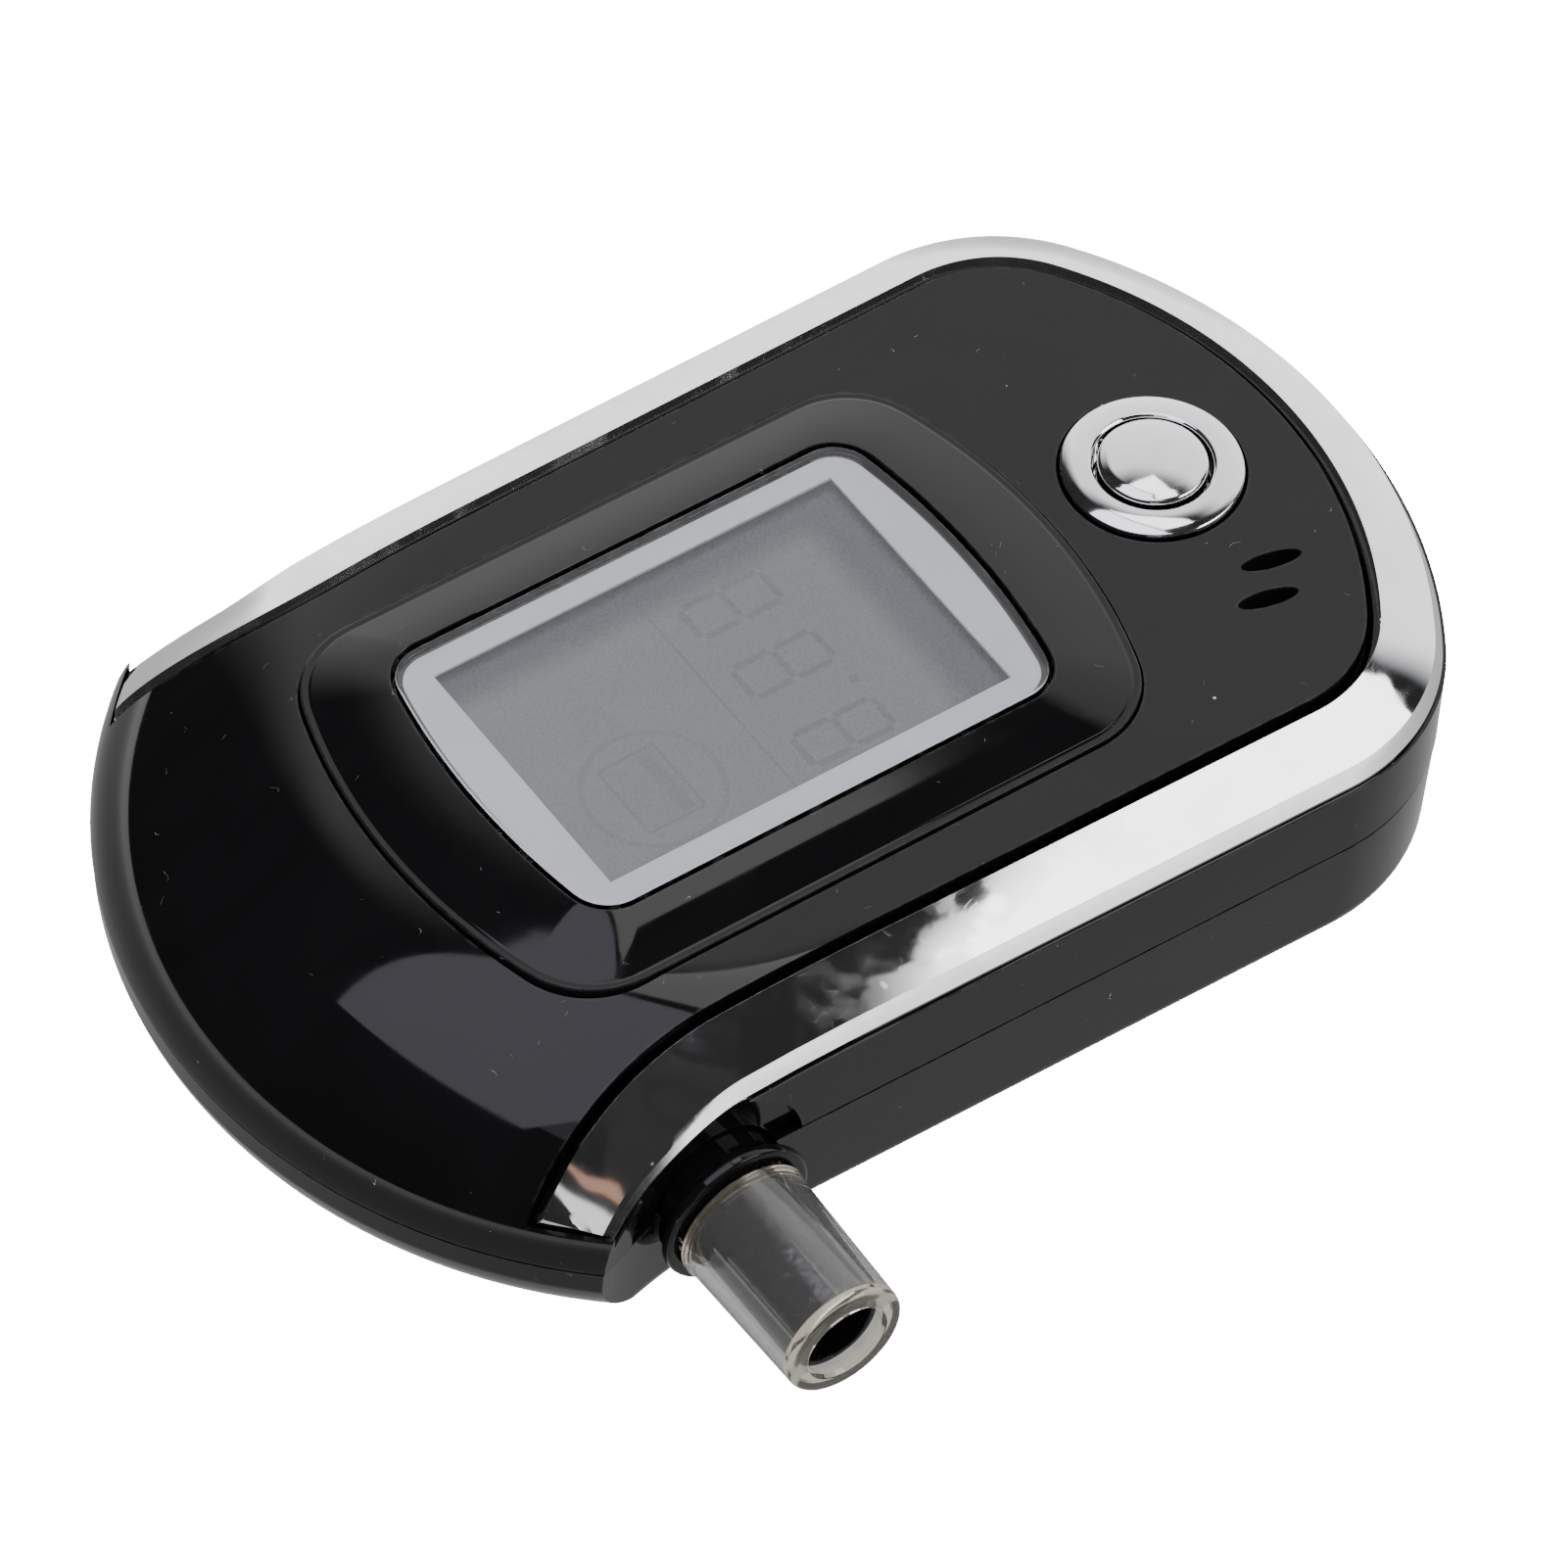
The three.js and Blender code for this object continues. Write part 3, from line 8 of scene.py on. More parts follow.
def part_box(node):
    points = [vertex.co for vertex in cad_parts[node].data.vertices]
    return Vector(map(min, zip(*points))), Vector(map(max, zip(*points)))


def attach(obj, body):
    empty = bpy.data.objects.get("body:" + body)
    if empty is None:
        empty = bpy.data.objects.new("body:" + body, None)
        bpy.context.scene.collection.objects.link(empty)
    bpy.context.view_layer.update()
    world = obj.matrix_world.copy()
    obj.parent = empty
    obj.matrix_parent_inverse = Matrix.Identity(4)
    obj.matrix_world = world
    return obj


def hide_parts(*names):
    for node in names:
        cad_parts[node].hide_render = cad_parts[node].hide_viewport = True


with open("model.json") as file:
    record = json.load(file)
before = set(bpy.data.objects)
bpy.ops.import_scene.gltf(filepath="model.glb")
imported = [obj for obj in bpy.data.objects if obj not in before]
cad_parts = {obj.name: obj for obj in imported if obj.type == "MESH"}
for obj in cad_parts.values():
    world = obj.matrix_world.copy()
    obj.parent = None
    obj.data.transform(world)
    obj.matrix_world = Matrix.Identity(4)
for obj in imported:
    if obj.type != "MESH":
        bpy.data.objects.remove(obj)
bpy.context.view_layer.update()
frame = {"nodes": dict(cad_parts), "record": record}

# ------------------------------------------------------------------ sizes
# Pieces are shaped in millimetres about the case's own centreline (x along the case, bulb end at -x,
# back face at z = 0) and then settled, in metres, into the frame.


def box_mm(node):
    low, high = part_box(node)
    return [1000 * v for v in low], [1000 * v for v in high]


def middle(node):
    low, high = box_mm(node)
    return [(a + b) / 2 for a, b in zip(low, high)]


case_low, case_high = box_mm("front_shell")
CASE_X = (case_low[0] + case_high[0]) / 2
CASE_Y = (case_low[1] + case_high[1]) / 2
TOP = case_high[2]
HALF_LENGTH = (case_high[0] - case_low[0]) / 2
GAP = 0.3
WALL = 1.8

# plan of the case
BULB_R = 40.7
BULB_X = BULB_R - HALF_LENGTH
END_R = 39.5
END_X = HALF_LENGTH - END_R
CORNER_R = 16
WAIST_X = 27.6 - HALF_LENGTH
WAIST_HALF = 28.65
SIDE_TILT = math.atan(0.015)
FLARE_R = 35.5
TURN_STEPS = 24
SIDE_STEPS = 12
FLARE_STEPS = 20
BULB_STEPS = 40

# heights
PART_Z = 9.8
PART_BULB_Z = 8.3
DOME_START = 22
DOME_POWER = 1.8
UNDER_R = 8
EDGE_R = 2

# trim band
BAND_IN = 5.5
BAND_RIDGE = 0.95
BAND_OUT = 0.3
BAND_TIP_MARGIN = 1.2
TIP_TURN = 0.58
TIP_STEPS = 40

# display
lens_low, lens_high = box_mm("display_lens")
DISPLAY_X = middle("display_lens")[0] - CASE_X
LENS_TOP = lens_high[2]
LENS_BOTTOM = lens_low[2]
LENS = dict(length=lens_high[0] - lens_low[0], width=lens_high[1] - lens_low[1], end_r=58, corner_r=3.2)
BEZEL = dict(length=56.4, width=37.5, end_r=44, corner_r=7)
WINDOW_LENGTH = 34
WINDOW_WIDTH = 22

# button, slots and breath path
BUTTON_X = middle("button_ring")[0] - CASE_X
MOUTH_X = middle("mouthpiece")[0] - CASE_X
MOUTH_Z = middle("mouthpiece")[2]
MOUTH_BASE = box_mm("mouthpiece")[1][1] - CASE_Y
MOUTH_TIP = box_mm("mouthpiece")[0][1] - CASE_Y
SOCKET_TIP = box_mm("mouthpiece_socket")[0][1] - CASE_Y
RING_HOLE_R = 6.9
SLOT_HALF_LENGTH = 2.35
SLOT_HALF_WIDTH = 0.72
SLOT_TURN = -0.22
NECK_HOLE_R = 5.3
SCOOP_R = 7.6
SPIGOT_R = 3.8
SPIGOT_BORE_R = 3.05
MOUTH_BORE_R = 4.1

# battery door
HOOK_Y = 5.45
HOOK_HALF = 1.4


# ------------------------------------------------------------------ workbench
def set_mode(mode):
    if bpy.context.object and bpy.context.object.mode != mode:
        bpy.ops.object.mode_set(mode=mode)


def start_fresh():
    set_mode("OBJECT")
    bpy.ops.object.select_all(action="DESELECT")


def pick(obj):
    start_fresh()
    bpy.context.view_layer.objects.active = obj
    obj.select_set(True)


def named(name):
    obj = bpy.context.object
    obj.name = name
    obj.data.name = name
    return obj


def weld():
    """Merges the touching points of the piece in edit mode and turns its faces outwards."""
    bpy.ops.mesh.select_all(action="SELECT")
    bpy.ops.mesh.remove_doubles(threshold=1e-4)
    bpy.ops.mesh.normals_make_consistent(inside=False)
    set_mode("OBJECT")


def choose_faces(obj, test):
    """Selects the faces for which test(centre, normal) holds, in edit mode."""
    pick(obj)
    for vertex in obj.data.vertices:
        vertex.select = False
    for edge in obj.data.edges:
        edge.select = False
    for face in obj.data.polygons:
        face.select = test(face.center, face.normal)
    set_mode("EDIT")
    bpy.ops.mesh.select_mode(type="FACE")


def plate(name, points, low, high):
    """A sheet with the given plan, raised from one height to another."""
    start_fresh()
    bpy.ops.mesh.primitive_circle_add(vertices=len(points), radius=1, fill_type="NGON")
    obj = named(name)
    for vertex, (x, y) in zip(obj.data.vertices, points):
        vertex.co = (x, y, low)
    set_mode("EDIT")
    bpy.ops.mesh.select_all(action="SELECT")
    bpy.ops.mesh.extrude_region_move(TRANSFORM_OT_translate={"value": (0, 0, high - low)})
    bpy.ops.mesh.select_all(action="SELECT")
    bpy.ops.mesh.normals_make_consistent(inside=False)
    set_mode("OBJECT")
    return obj


def block(name, low, high):
    start_fresh()
    middle_point = [(a + b) / 2 for a, b in zip(low, high)]
    bpy.ops.mesh.primitive_cube_add(size=1, location=middle_point)
    obj = named(name)
    obj.scale = [b - a for a, b in zip(low, high)]
    bpy.ops.object.transform_apply(location=True, rotation=True, scale=True)
    return obj


AXES = {
    "up": (Vector((0, 0, 1)), lambda r, h: (r, 0, h)),
    "along y": (Vector((0, 1, 0)), lambda r, h: (r, h, 0)),
    "along x": (Vector((1, 0, 0)), lambda r, h: (h, 0, r)),
}


def spun(name, profile, centre, axis="up", steps=96):
    """A profile of (radius, height) points turned about an axis through centre."""
    direction, place = AXES[axis]
    start_fresh()
    bpy.ops.mesh.primitive_circle_add(vertices=len(profile), radius=1, fill_type="NOTHING")
    obj = named(name)
    for vertex, (r, h) in zip(obj.data.vertices, profile):
        vertex.co = place(r, h)
    on_axis = [r < 1e-6 for r, _ in profile]
    for vertex in obj.data.vertices:
        vertex.select = False
    for edge in obj.data.edges:
        edge.select = all(on_axis[i] for i in edge.vertices)
    any_axis_edge = any(edge.select for edge in obj.data.edges)
    set_mode("EDIT")
    bpy.ops.mesh.select_mode(type="EDGE")
    if any_axis_edge:
        bpy.ops.mesh.delete(type="EDGE")
    bpy.ops.mesh.select_all(action="SELECT")
    bpy.ops.mesh.spin(steps=steps, angle=2 * math.pi, center=(0, 0, 0), axis=direction)
    weld()
    obj.location = centre
    bpy.ops.object.transform_apply(location=True, rotation=True, scale=True)
    return obj


def skin(name, rings, closed_ends=True):
    """Matching closed rings of points joined into one skin."""
    start_fresh()
    count = len(rings[0])
    points = [point for ring in rings for point in ring]
    faces = [
        (k * count + i, k * count + (i + 1) % count, (k + 1) * count + (i + 1) % count, (k + 1) * count + i)
        for k in range(len(rings) - 1)
        for i in range(count)
    ]
    if closed_ends:
        faces.append(tuple(reversed(range(count))))
        faces.append(tuple(range((len(rings) - 1) * count, len(rings) * count)))
    mesh = bpy.data.meshes.new(name)
    mesh.from_pydata(points, [], faces)
    obj = bpy.data.objects.new(name, mesh)
    bpy.context.collection.objects.link(obj)
    pick(obj)
    set_mode("EDIT")
    weld()
    return obj


def combine(obj, other, operation):
    """Cuts, joins or trims obj with another solid."""
    pick(obj)
    joiner = obj.modifiers.new(operation.lower(), "BOOLEAN")
    joiner.object = other
    joiner.operation = operation
    joiner.solver = "MANIFOLD"
    bpy.ops.object.modifier_apply(modifier=joiner.name)
    bpy.data.objects.remove(other)
    return obj


def cut(obj, *others):
    for other in others:
        combine(obj, other, "DIFFERENCE")
    return obj


def join(obj, *others):
    for other in others:
        combine(obj, other, "UNION")
    return obj


def trim(obj, other):
    return combine(obj, other, "INTERSECT")


def clean(obj, near=0.02, flat=0.2):
    """Merges stray points and drops the slivers that cutting leaves."""
    choose_faces(obj, lambda centre, normal: True)
    bpy.ops.mesh.remove_doubles(threshold=near)
    bpy.ops.mesh.dissolve_degenerate(threshold=near / 4)
    bpy.ops.mesh.select_all(action="SELECT")
    bpy.ops.mesh.dissolve_limited(angle_limit=math.radians(flat))
    set_mode("OBJECT")
    return obj


def round_edges(obj, width, segments=3, angle=30):
    pick(obj)
    bevel = obj.modifiers.new("rounding", "BEVEL")
    bevel.width = width
    bevel.segments = segments
    bevel.limit_method = "ANGLE"
    bevel.angle_limit = math.radians(angle)
    bevel.use_clamp_overlap = True
    bevel.miter_outer = "MITER_ARC"
    bevel.harden_normals = False
    bpy.ops.object.modifier_apply(modifier=bevel.name)
    return obj


def polish(obj, angle=35):
    """Smooth shading that stays crisp over hard corners."""
    pick(obj)
    bpy.ops.object.shade_smooth_by_angle(angle=math.radians(angle))
    even = obj.modifiers.new("even shading", "WEIGHTED_NORMAL")
    even.keep_sharp = True
    even.weight = 90
    bpy.ops.object.modifier_apply(modifier=even.name)
    return obj


def settle(obj, body, material, slot, *nodes):
    """Puts a finished piece into the frame, gives it its finish and the body it moves with."""
    pick(obj)
    obj.scale = (0.001, 0.001, 0.001)
    obj.location = (CASE_X * 0.001, CASE_Y * 0.001, 0)
    bpy.ops.object.transform_apply(location=True, rotation=True, scale=True)
    obj.data.materials.clear()
    obj.data.materials.append(material)
    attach(obj, body)
    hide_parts(*nodes)


# ------------------------------------------------------------------ plan curves
def arc(cx, cy, r, start, stop, steps):
    angles = [start + (stop - start) * i / steps for i in range(steps + 1)]
    return [(cx + r * math.cos(angle), cy + r * math.sin(angle)) for angle in angles]


def evenly(first, last, steps):
    """The points that split the way from one point to another into equal steps."""
    return [tuple(a + (b - a) * t / steps for a, b in zip(first, last)) for t in range(1, steps)]


def case_corners():
    """The fixed points of the case's plan: side normal, corner centre, where end and corner arcs meet."""
    normal = (-math.sin(SIDE_TILT), math.cos(SIDE_TILT))
    along = (math.cos(SIDE_TILT), math.sin(SIDE_TILT))
    px = WAIST_X - CORNER_R * normal[0] - END_X
    py = WAIST_HALF - CORNER_R * normal[1]
    reach = END_R - CORNER_R
    b = px * along[0] + py * along[1]
    s = -b + math.sqrt(b * b - px * px - py * py + reach * reach)
    corner = (px + END_X + s * along[0], py + s * along[1])
    meet = math.atan2(corner[1], corner[0] - END_X)
    flare = (WAIST_X + FLARE_R * normal[0], WAIST_HALF + FLARE_R * normal[1])
    return normal, corner, meet, flare


def half_plan(d):
    """Upper half of the case's plan, moved in by d, from the button end to the bulb tip."""
    normal, corner, meet, flare = case_corners()
    points = arc(END_X, 0, END_R - d, 0, meet, TURN_STEPS)
    points += arc(corner[0], corner[1], CORNER_R - d, meet, math.pi / 2 + SIDE_TILT, TURN_STEPS)[1:]
    waist = (WAIST_X - d * normal[0], WAIST_HALF - d * normal[1])
    points += evenly(points[-1], waist, SIDE_STEPS)
    r1, r2 = FLARE_R + d, BULB_R - d
    dx, dy = flare[0] - BULB_X, flare[1]
    span = math.hypot(dx, dy)
    a = (r2 * r2 - r1 * r1 + span * span) / (2 * span)
    h = math.sqrt(r2 * r2 - a * a)
    tip = (BULB_X + (a * dx - h * dy) / span, (a * dy + h * dx) / span)
    turn = math.atan2(tip[1] - flare[1], tip[0] - flare[0])
    points += arc(flare[0], flare[1], r1, SIDE_TILT - math.pi / 2, turn, FLARE_STEPS)
    points += arc(BULB_X, 0, r2, math.atan2(tip[1], tip[0] - BULB_X), math.pi, BULB_STEPS)[1:]
    return points


def plan(d):
    half = half_plan(d)
    return half + [(x, -y) for x, y in reversed(half[1:-1])]


def barrel(length, width, end_r, corner_r, d=0):
    """A plan with bowed ends, straight sides and rounded corners, centred on the display."""
    cx = length / 2 - end_r
    reach = end_r - corner_r
    cy = width / 2 - corner_r
    corner = cx + math.sqrt(reach * reach - cy * cy)
    meet = math.atan2(cy, corner - cx)
    quarter = arc(cx, 0, end_r - d, 0, meet, 14)
    quarter += arc(corner, cy, corner_r - d, meet, math.pi / 2, 12)[1:]
    side = [(quarter[-1][0] * (1 - t / 6), quarter[-1][1]) for t in range(1, 6)]
    top = quarter + side + [(0, quarter[-1][1])] + [(-x, y) for x, y in reversed(quarter + side)]
    return [(x + DISPLAY_X, y) for x, y in top + [(x, -y) for x, y in reversed(top[1:-1])]]


def dome_fall(rho):
    u = min(1, max(0, (rho - DOME_START) / (BULB_R - DOME_START)))
    return (TOP - PART_BULB_Z) * (1 - (1 - u**DOME_POWER) ** (1 / DOME_POWER))


def surface_z(x, y):
    return TOP - dome_fall(math.hypot(min(0, x - BULB_X), y))


def parting_height(x):
    t = min(1, max(0, (WAIST_X + 2 - x) / 14))
    return PART_Z + (PART_BULB_Z - PART_Z) * t


def surface_normal(x, y, step=0.02):
    dx = (surface_z(x + step, y) - surface_z(x - step, y)) / (2 * step)
    dy = (surface_z(x, y + step) - surface_z(x, y - step)) / (2 * step)
    return Vector((-dx, -dy, 1)).normalized()


def true_top(obj):
    """Gives the front face the exact normals of its dome, whichever way cutting has split it."""
    mesh = obj.data
    normals = [corner.vector.copy() for corner in mesh.corner_normals]
    for face in mesh.polygons:
        corners = [mesh.vertices[i].co for i in face.vertices]
        if face.normal.z > 0.2 and all(abs(c.z - surface_z(c.x, c.y)) < 0.03 for c in corners):
            for index in face.loop_indices:
                corner = mesh.vertices[mesh.loops[index].vertex_index].co
                normals[index] = surface_normal(corner.x, corner.y)
    mesh.normals_split_custom_set(normals)
    return obj


# ------------------------------------------------------------------ cutting bodies
def dome_body(inset):
    """Everything under the front face: a domed bulb end run on along the case."""
    profile = [(0, -2), (BULB_R - inset, -2)]
    steps = 40
    for i in range(steps, -1, -1):
        rho = DOME_START + (BULB_R - DOME_START) * math.sin(math.pi / 2 * i / steps)
        fall = dome_fall(rho) * (1 - inset / (TOP - PART_BULB_Z))
        profile.append((rho - inset * i / steps, TOP - inset - fall))
    profile += [(DOME_START * t / 4, TOP - inset) for t in (3, 2, 1, 0)]
    obj = spun("dome", profile, (BULB_X, 0, 0), steps=192)
    body = block("front_half", (BULB_X, -45, -2), (HALF_LENGTH + 2, 45, TOP - inset))
    return join(obj, body)


def roll_under_body(inset):
    """Everything above the back face: rolled under at the bulb end, flat along the case."""
    profile = [(0, inset)]
    r = UNDER_R - inset
    for i in range(25):
        t = math.pi / 2 * i / 24
        profile.append((BULB_R - UNDER_R + r * math.sin(t), inset + r * (1 - math.cos(t))))
    profile += [(BULB_R - inset, TOP + 5), (0, TOP + 5)]
    obj = spun("roll_under", profile, (BULB_X, 0, 0), steps=192)
    return join(obj, block("back_half", (BULB_X, -45, inset), (HALF_LENGTH + 2, 45, TOP + 5)))


def parting_slab(low, high):
    """The part of space between two heights measured from the parting line."""
    xs = [-HALF_LENGTH - 5, WAIST_X - 12, WAIST_X + 2, HALF_LENGTH + 5]
    ring = [(x, parting_height(x) + low) for x in xs] + [(x, parting_height(x) + high) for x in reversed(xs)]
    return skin("slab", [[(x, side, z) for x, z in ring] for side in (-60, 60)])


def upright(name, r, low, high, x, y, steps=48):
    return spun(name, [(0, low), (r, low), (r, high), (0, high)], (x, y, 0), steps=steps)


def mouth_drill():
    """Clears the way for the socket's neck through both shells."""
    profile = [(0, -60), (NECK_HOLE_R, -60), (NECK_HOLE_R, -15), (0, -15)]
    return spun("drill", profile, (MOUTH_X, 0, MOUTH_Z), "along y", 64)


# ------------------------------------------------------------------ trim band
def band_stations():
    """Places along the band from tip to tip: point on the case's plan, outward normal, depth into the tip."""
    *_, flare = case_corners()
    outer, inner = half_plan(0), half_plan(1)
    straight_end = 2 * TURN_STEPS + SIDE_STEPS
    half = [(o, (o[0] - i[0], o[1] - i[1]), 0) for o, i in zip(outer[:straight_end], inner)]
    for k in range(TIP_STEPS + 1):
        angle = SIDE_TILT - math.pi / 2 - TIP_TURN * k / TIP_STEPS
        n = (-math.cos(angle), -math.sin(angle))
        half.append(((flare[0] - FLARE_R * n[0], flare[1] - FLARE_R * n[1]), n, k / TIP_STEPS))
    mirrored = [((p[0], -p[1]), (n[0], -n[1]), t) for p, n, t in half[1:]]
    return list(reversed(half)) + mirrored


def ease(t):
    return t * t * (3 - 2 * t)


def band_frame(station):
    (px, py), (nx, ny), t = station

    def place(d, z):
        return (px - d * nx, py - d * ny, z)

    inner = BAND_IN - 0.5 * t
    x, y, _ = place(inner, 0)
    top = surface_z(x, y)
    ridge = top - (2.2 + 0.6 * ease(min(1, t * 3)))
    edge = ridge - (1.3 - 0.6 * t)
    return place, inner, top, ridge, edge


def band_section(station):
    place, inner, top, ridge, edge = band_frame(station)
    face = []
    for i in range(7):
        s = i / 6
        d = BAND_RIDGE + (inner - 0.5 - BAND_RIDGE) * s
        face.append(place(d, ridge + (top - ridge) * s + 0.07 * math.sin(math.pi * s)))
    strip = []
    for s in (0, 0.5):
        d = BAND_OUT + (BAND_RIDGE - BAND_OUT) * s
        strip.append(place(d, edge + (ridge - edge) * s + 0.02 * math.sin(math.pi * s)))
    low = [place(inner, top - 1.5), place(BAND_RIDGE + 0.3, edge - 0.2), place(BAND_OUT, edge - 0.2)]
    return low + strip + face + [place(inner, top - 0.5)]


def band_pocket(station):
    place, inner, top, ridge, edge = band_frame(station)
    return [
        place(inner + 0.5, top - 1.9),
        place(BAND_RIDGE, edge - 0.35),
        place(-2, edge - 0.35),
        place(-2, edge + 4),
        place(BAND_RIDGE, ridge + 4),
        place(inner - 0.5, top + 4),
        place(inner + 0.5, top + 4),
    ]


def tip_trimmer(extra):
    r = BULB_R - BAND_TIP_MARGIN + extra
    obj = upright("tips", r, -3, TOP + 8, BULB_X, 0, 256)
    return join(obj, block("long", (BULB_X, -45, -3), (HALF_LENGTH + 5, 45, TOP + 8)))


def make_band():
    band = skin("chrome_band", [band_section(station) for station in band_stations()])
    trim(band, tip_trimmer(0))
    round_edges(band, 0.12, 3, 22)
    return polish(band, 40)


# ------------------------------------------------------------------ shells
def slot_cutters():
    cutters = []
    for dx, y in ((2.1, -11.5), (-0.2, -14.25)):
        angles = [2 * math.pi * i / 40 for i in range(40)]
        oval = [(SLOT_HALF_LENGTH * math.cos(a), SLOT_HALF_WIDTH * math.sin(a)) for a in angles]
        c, s = math.cos(SLOT_TURN), math.sin(SLOT_TURN)
        points = [(BUTTON_X + dx + u * c - v * s, y + u * s + v * c) for u, v in oval]
        cutters.append(plate("slot", points, TOP - WALL - 1, TOP + 1))
    return cutters


def recess_cutter():
    """A shallow scoop in the front shell's wall behind the mouthpiece."""
    deep = plate("recess", plan(-3), PART_BULB_Z - 2, TOP - 1)
    cut(deep, plate("wall_left", plan(0.9), -1, TOP + 1))
    profile = [(0, -60), (SCOOP_R, -60), (SCOOP_R, -5), (0, -5)]
    scoop = spun("scoop", profile, (MOUTH_X - 0.6, 0, MOUTH_Z + 1.4), "along y", 96)
    return trim(deep, scoop)


def make_front_shell():
    shell = plate("front_cover", plan(0), 2, TOP + 2)
    trim(shell, dome_body(0))
    inside = trim(plate("inside", plan(WALL), 1, TOP - 4.9), dome_body(3.7))
    join(inside, trim(plate("inside_top", plan(BAND_IN + 1.6), 1.1, TOP), dome_body(WALL)))
    cut(shell, inside)
    pocket = skin("pocket", [band_pocket(station) for station in band_stations()])
    cut(shell, trim(pocket, tip_trimmer(0.25)))
    trim(shell, parting_slab(GAP / 2, 30))
    cut(shell, plate("bezel_hole", barrel(**BEZEL, d=-0.18), TOP - 5, TOP + 3))
    cut(shell, upright("ring_hole", RING_HOLE_R, TOP - 5, TOP + 3, BUTTON_X, 0, 96))
    cut(shell, *slot_cutters())
    cut(shell, mouth_drill(), recess_cutter())
    clean(shell)
    round_edges(shell, 0.16, 3, 32)
    return true_top(polish(shell, 35))


def make_rear_shell():
    def ring(d, z):
        return [(x, y, z) for x, y in plan(d)]

    rings = []
    for i in range(9):
        t = math.pi / 2 * i / 8
        rings.append(ring(0.3 + EDGE_R * (1 - math.sin(t)) * 0.8, EDGE_R * (1 - math.cos(t))))
    shell = skin("back_cover", rings + [ring(0, PART_Z + 2)])
    trim(shell, roll_under_body(0))
    inside = skin("inside", [ring(WALL + 0.6, WALL), ring(WALL, PART_Z + 3)])
    trim(inside, roll_under_body(WALL))
    cut(shell, inside)
    trim(shell, parting_slab(-30, -GAP / 2))
    door_low, door_high = box_mm("battery_door")
    x0 = door_low[0] - CASE_X + 1.5
    x1 = door_high[0] - CASE_X + GAP
    half = (door_high[1] - door_low[1]) / 2 + GAP
    bay_low, bay_high = (x0 - 1.2, -half - 1.2, WALL / 2), (x1 + 1.2, half + 1.2, 13.9)
    join(shell, block("bay_walls", bay_low, bay_high))
    cut(shell, block("bay", (x0, -half, -1), (x1, half, 12.9)))
    for y in (-HOOK_Y, HOOK_Y):
        cut(shell, block("notch", (x0 - 2.2, y - HOOK_HALF - GAP, WALL), (x0 + 1, y + HOOK_HALF + GAP, 5.8)))
    for i in range(1, 5):
        x, y, _ = middle(f"case_screw_{i}")
        x, y = x - CASE_X, y - CASE_Y
        join(shell, upright("column", 3, WALL / 2, 6, x, y))
        cut(shell, upright("well", 2.5, -1, 2.6, x, y), upright("hole", 1.4, 0, 7, x, y))
    cut(shell, mouth_drill())
    clean(shell)
    round_edges(shell, 0.16, 3, 32)
    return polish(shell, 35)


# ------------------------------------------------------------------ display
def make_bezel():
    def ring(shape, d, z):
        return [(x, y, z) for x, y in barrel(**shape, d=d)]

    def between(s, z):
        outer, inner = barrel(**BEZEL, d=0.75), barrel(**LENS, d=-0.32)
        return [(a[0] + (b[0] - a[0]) * s, a[1] + (b[1] - a[1]) * s, z) for a, b in zip(outer, inner)]

    foot, crest = TOP + 0.28, LENS_TOP
    slope = []
    for i in range(13):
        s = i / 12
        rise = 0.72 * s + 0.28 * math.sin(math.pi / 2 * s)
        slope.append(between(s, foot + 0.1 + (crest - foot - 0.1) * rise))
    rings = [ring(BEZEL, 0, TOP - 2.4), ring(BEZEL, 0, foot)]
    rings += [ring(BEZEL, 0.6, foot)]
    rings += slope
    rings += [ring(LENS, -0.32, LENS_BOTTOM - 0.6), ring(LENS, 0.9, LENS_BOTTOM - 0.6)]
    rings += [ring(LENS, 0.9, TOP - 2.4)]
    bezel = skin("bezel", rings, closed_ends=False)
    pick(bezel)
    set_mode("EDIT")
    bpy.ops.mesh.select_mode(type="EDGE")
    bpy.ops.mesh.select_all(action="DESELECT")
    bpy.ops.mesh.select_non_manifold()
    bpy.ops.mesh.bridge_edge_loops()
    bpy.ops.mesh.select_all(action="SELECT")
    bpy.ops.mesh.normals_make_consistent(inside=False)
    set_mode("OBJECT")
    round_edges(bezel, 0.14, 3, 24)
    return polish(bezel, 35)


def make_lens():
    lens = plate("lens", barrel(**LENS), LENS_BOTTOM, LENS_TOP)
    round_edges(lens, 0.22, 4, 40)
    return polish(lens, 35)


def make_mask():
    top = LENS_BOTTOM - 0.03
    mask = plate("window_print", barrel(**LENS, d=0.55), top - 0.25, top)
    x0, x1 = DISPLAY_X - WINDOW_LENGTH / 2, DISPLAY_X + WINDOW_LENGTH / 2
    cut(mask, block("window", (x0, -WINDOW_WIDTH / 2, 0), (x1, WINDOW_WIDTH / 2, 30)))
    round_edges(mask, 0.03, 2, 40)
    return polish(mask, 35)


def make_display():
    low, high = box_mm("lcd_panel")
    low = [low[0] - CASE_X, low[1] - CASE_Y, low[2]]
    high = [high[0] - CASE_X, high[1] - CASE_Y, high[2]]
    glass = block("display_glass", low, high)
    choose_faces(glass, lambda centre, normal: normal.z > 0.9)
    bpy.ops.mesh.inset(thickness=0.9, depth=0)
    bpy.ops.mesh.extrude_region_move(TRANSFORM_OT_translate={"value": (0, 0, 0.18)})
    set_mode("OBJECT")
    round_edges(glass, 0.05, 2, 40)
    return polish(glass, 35)


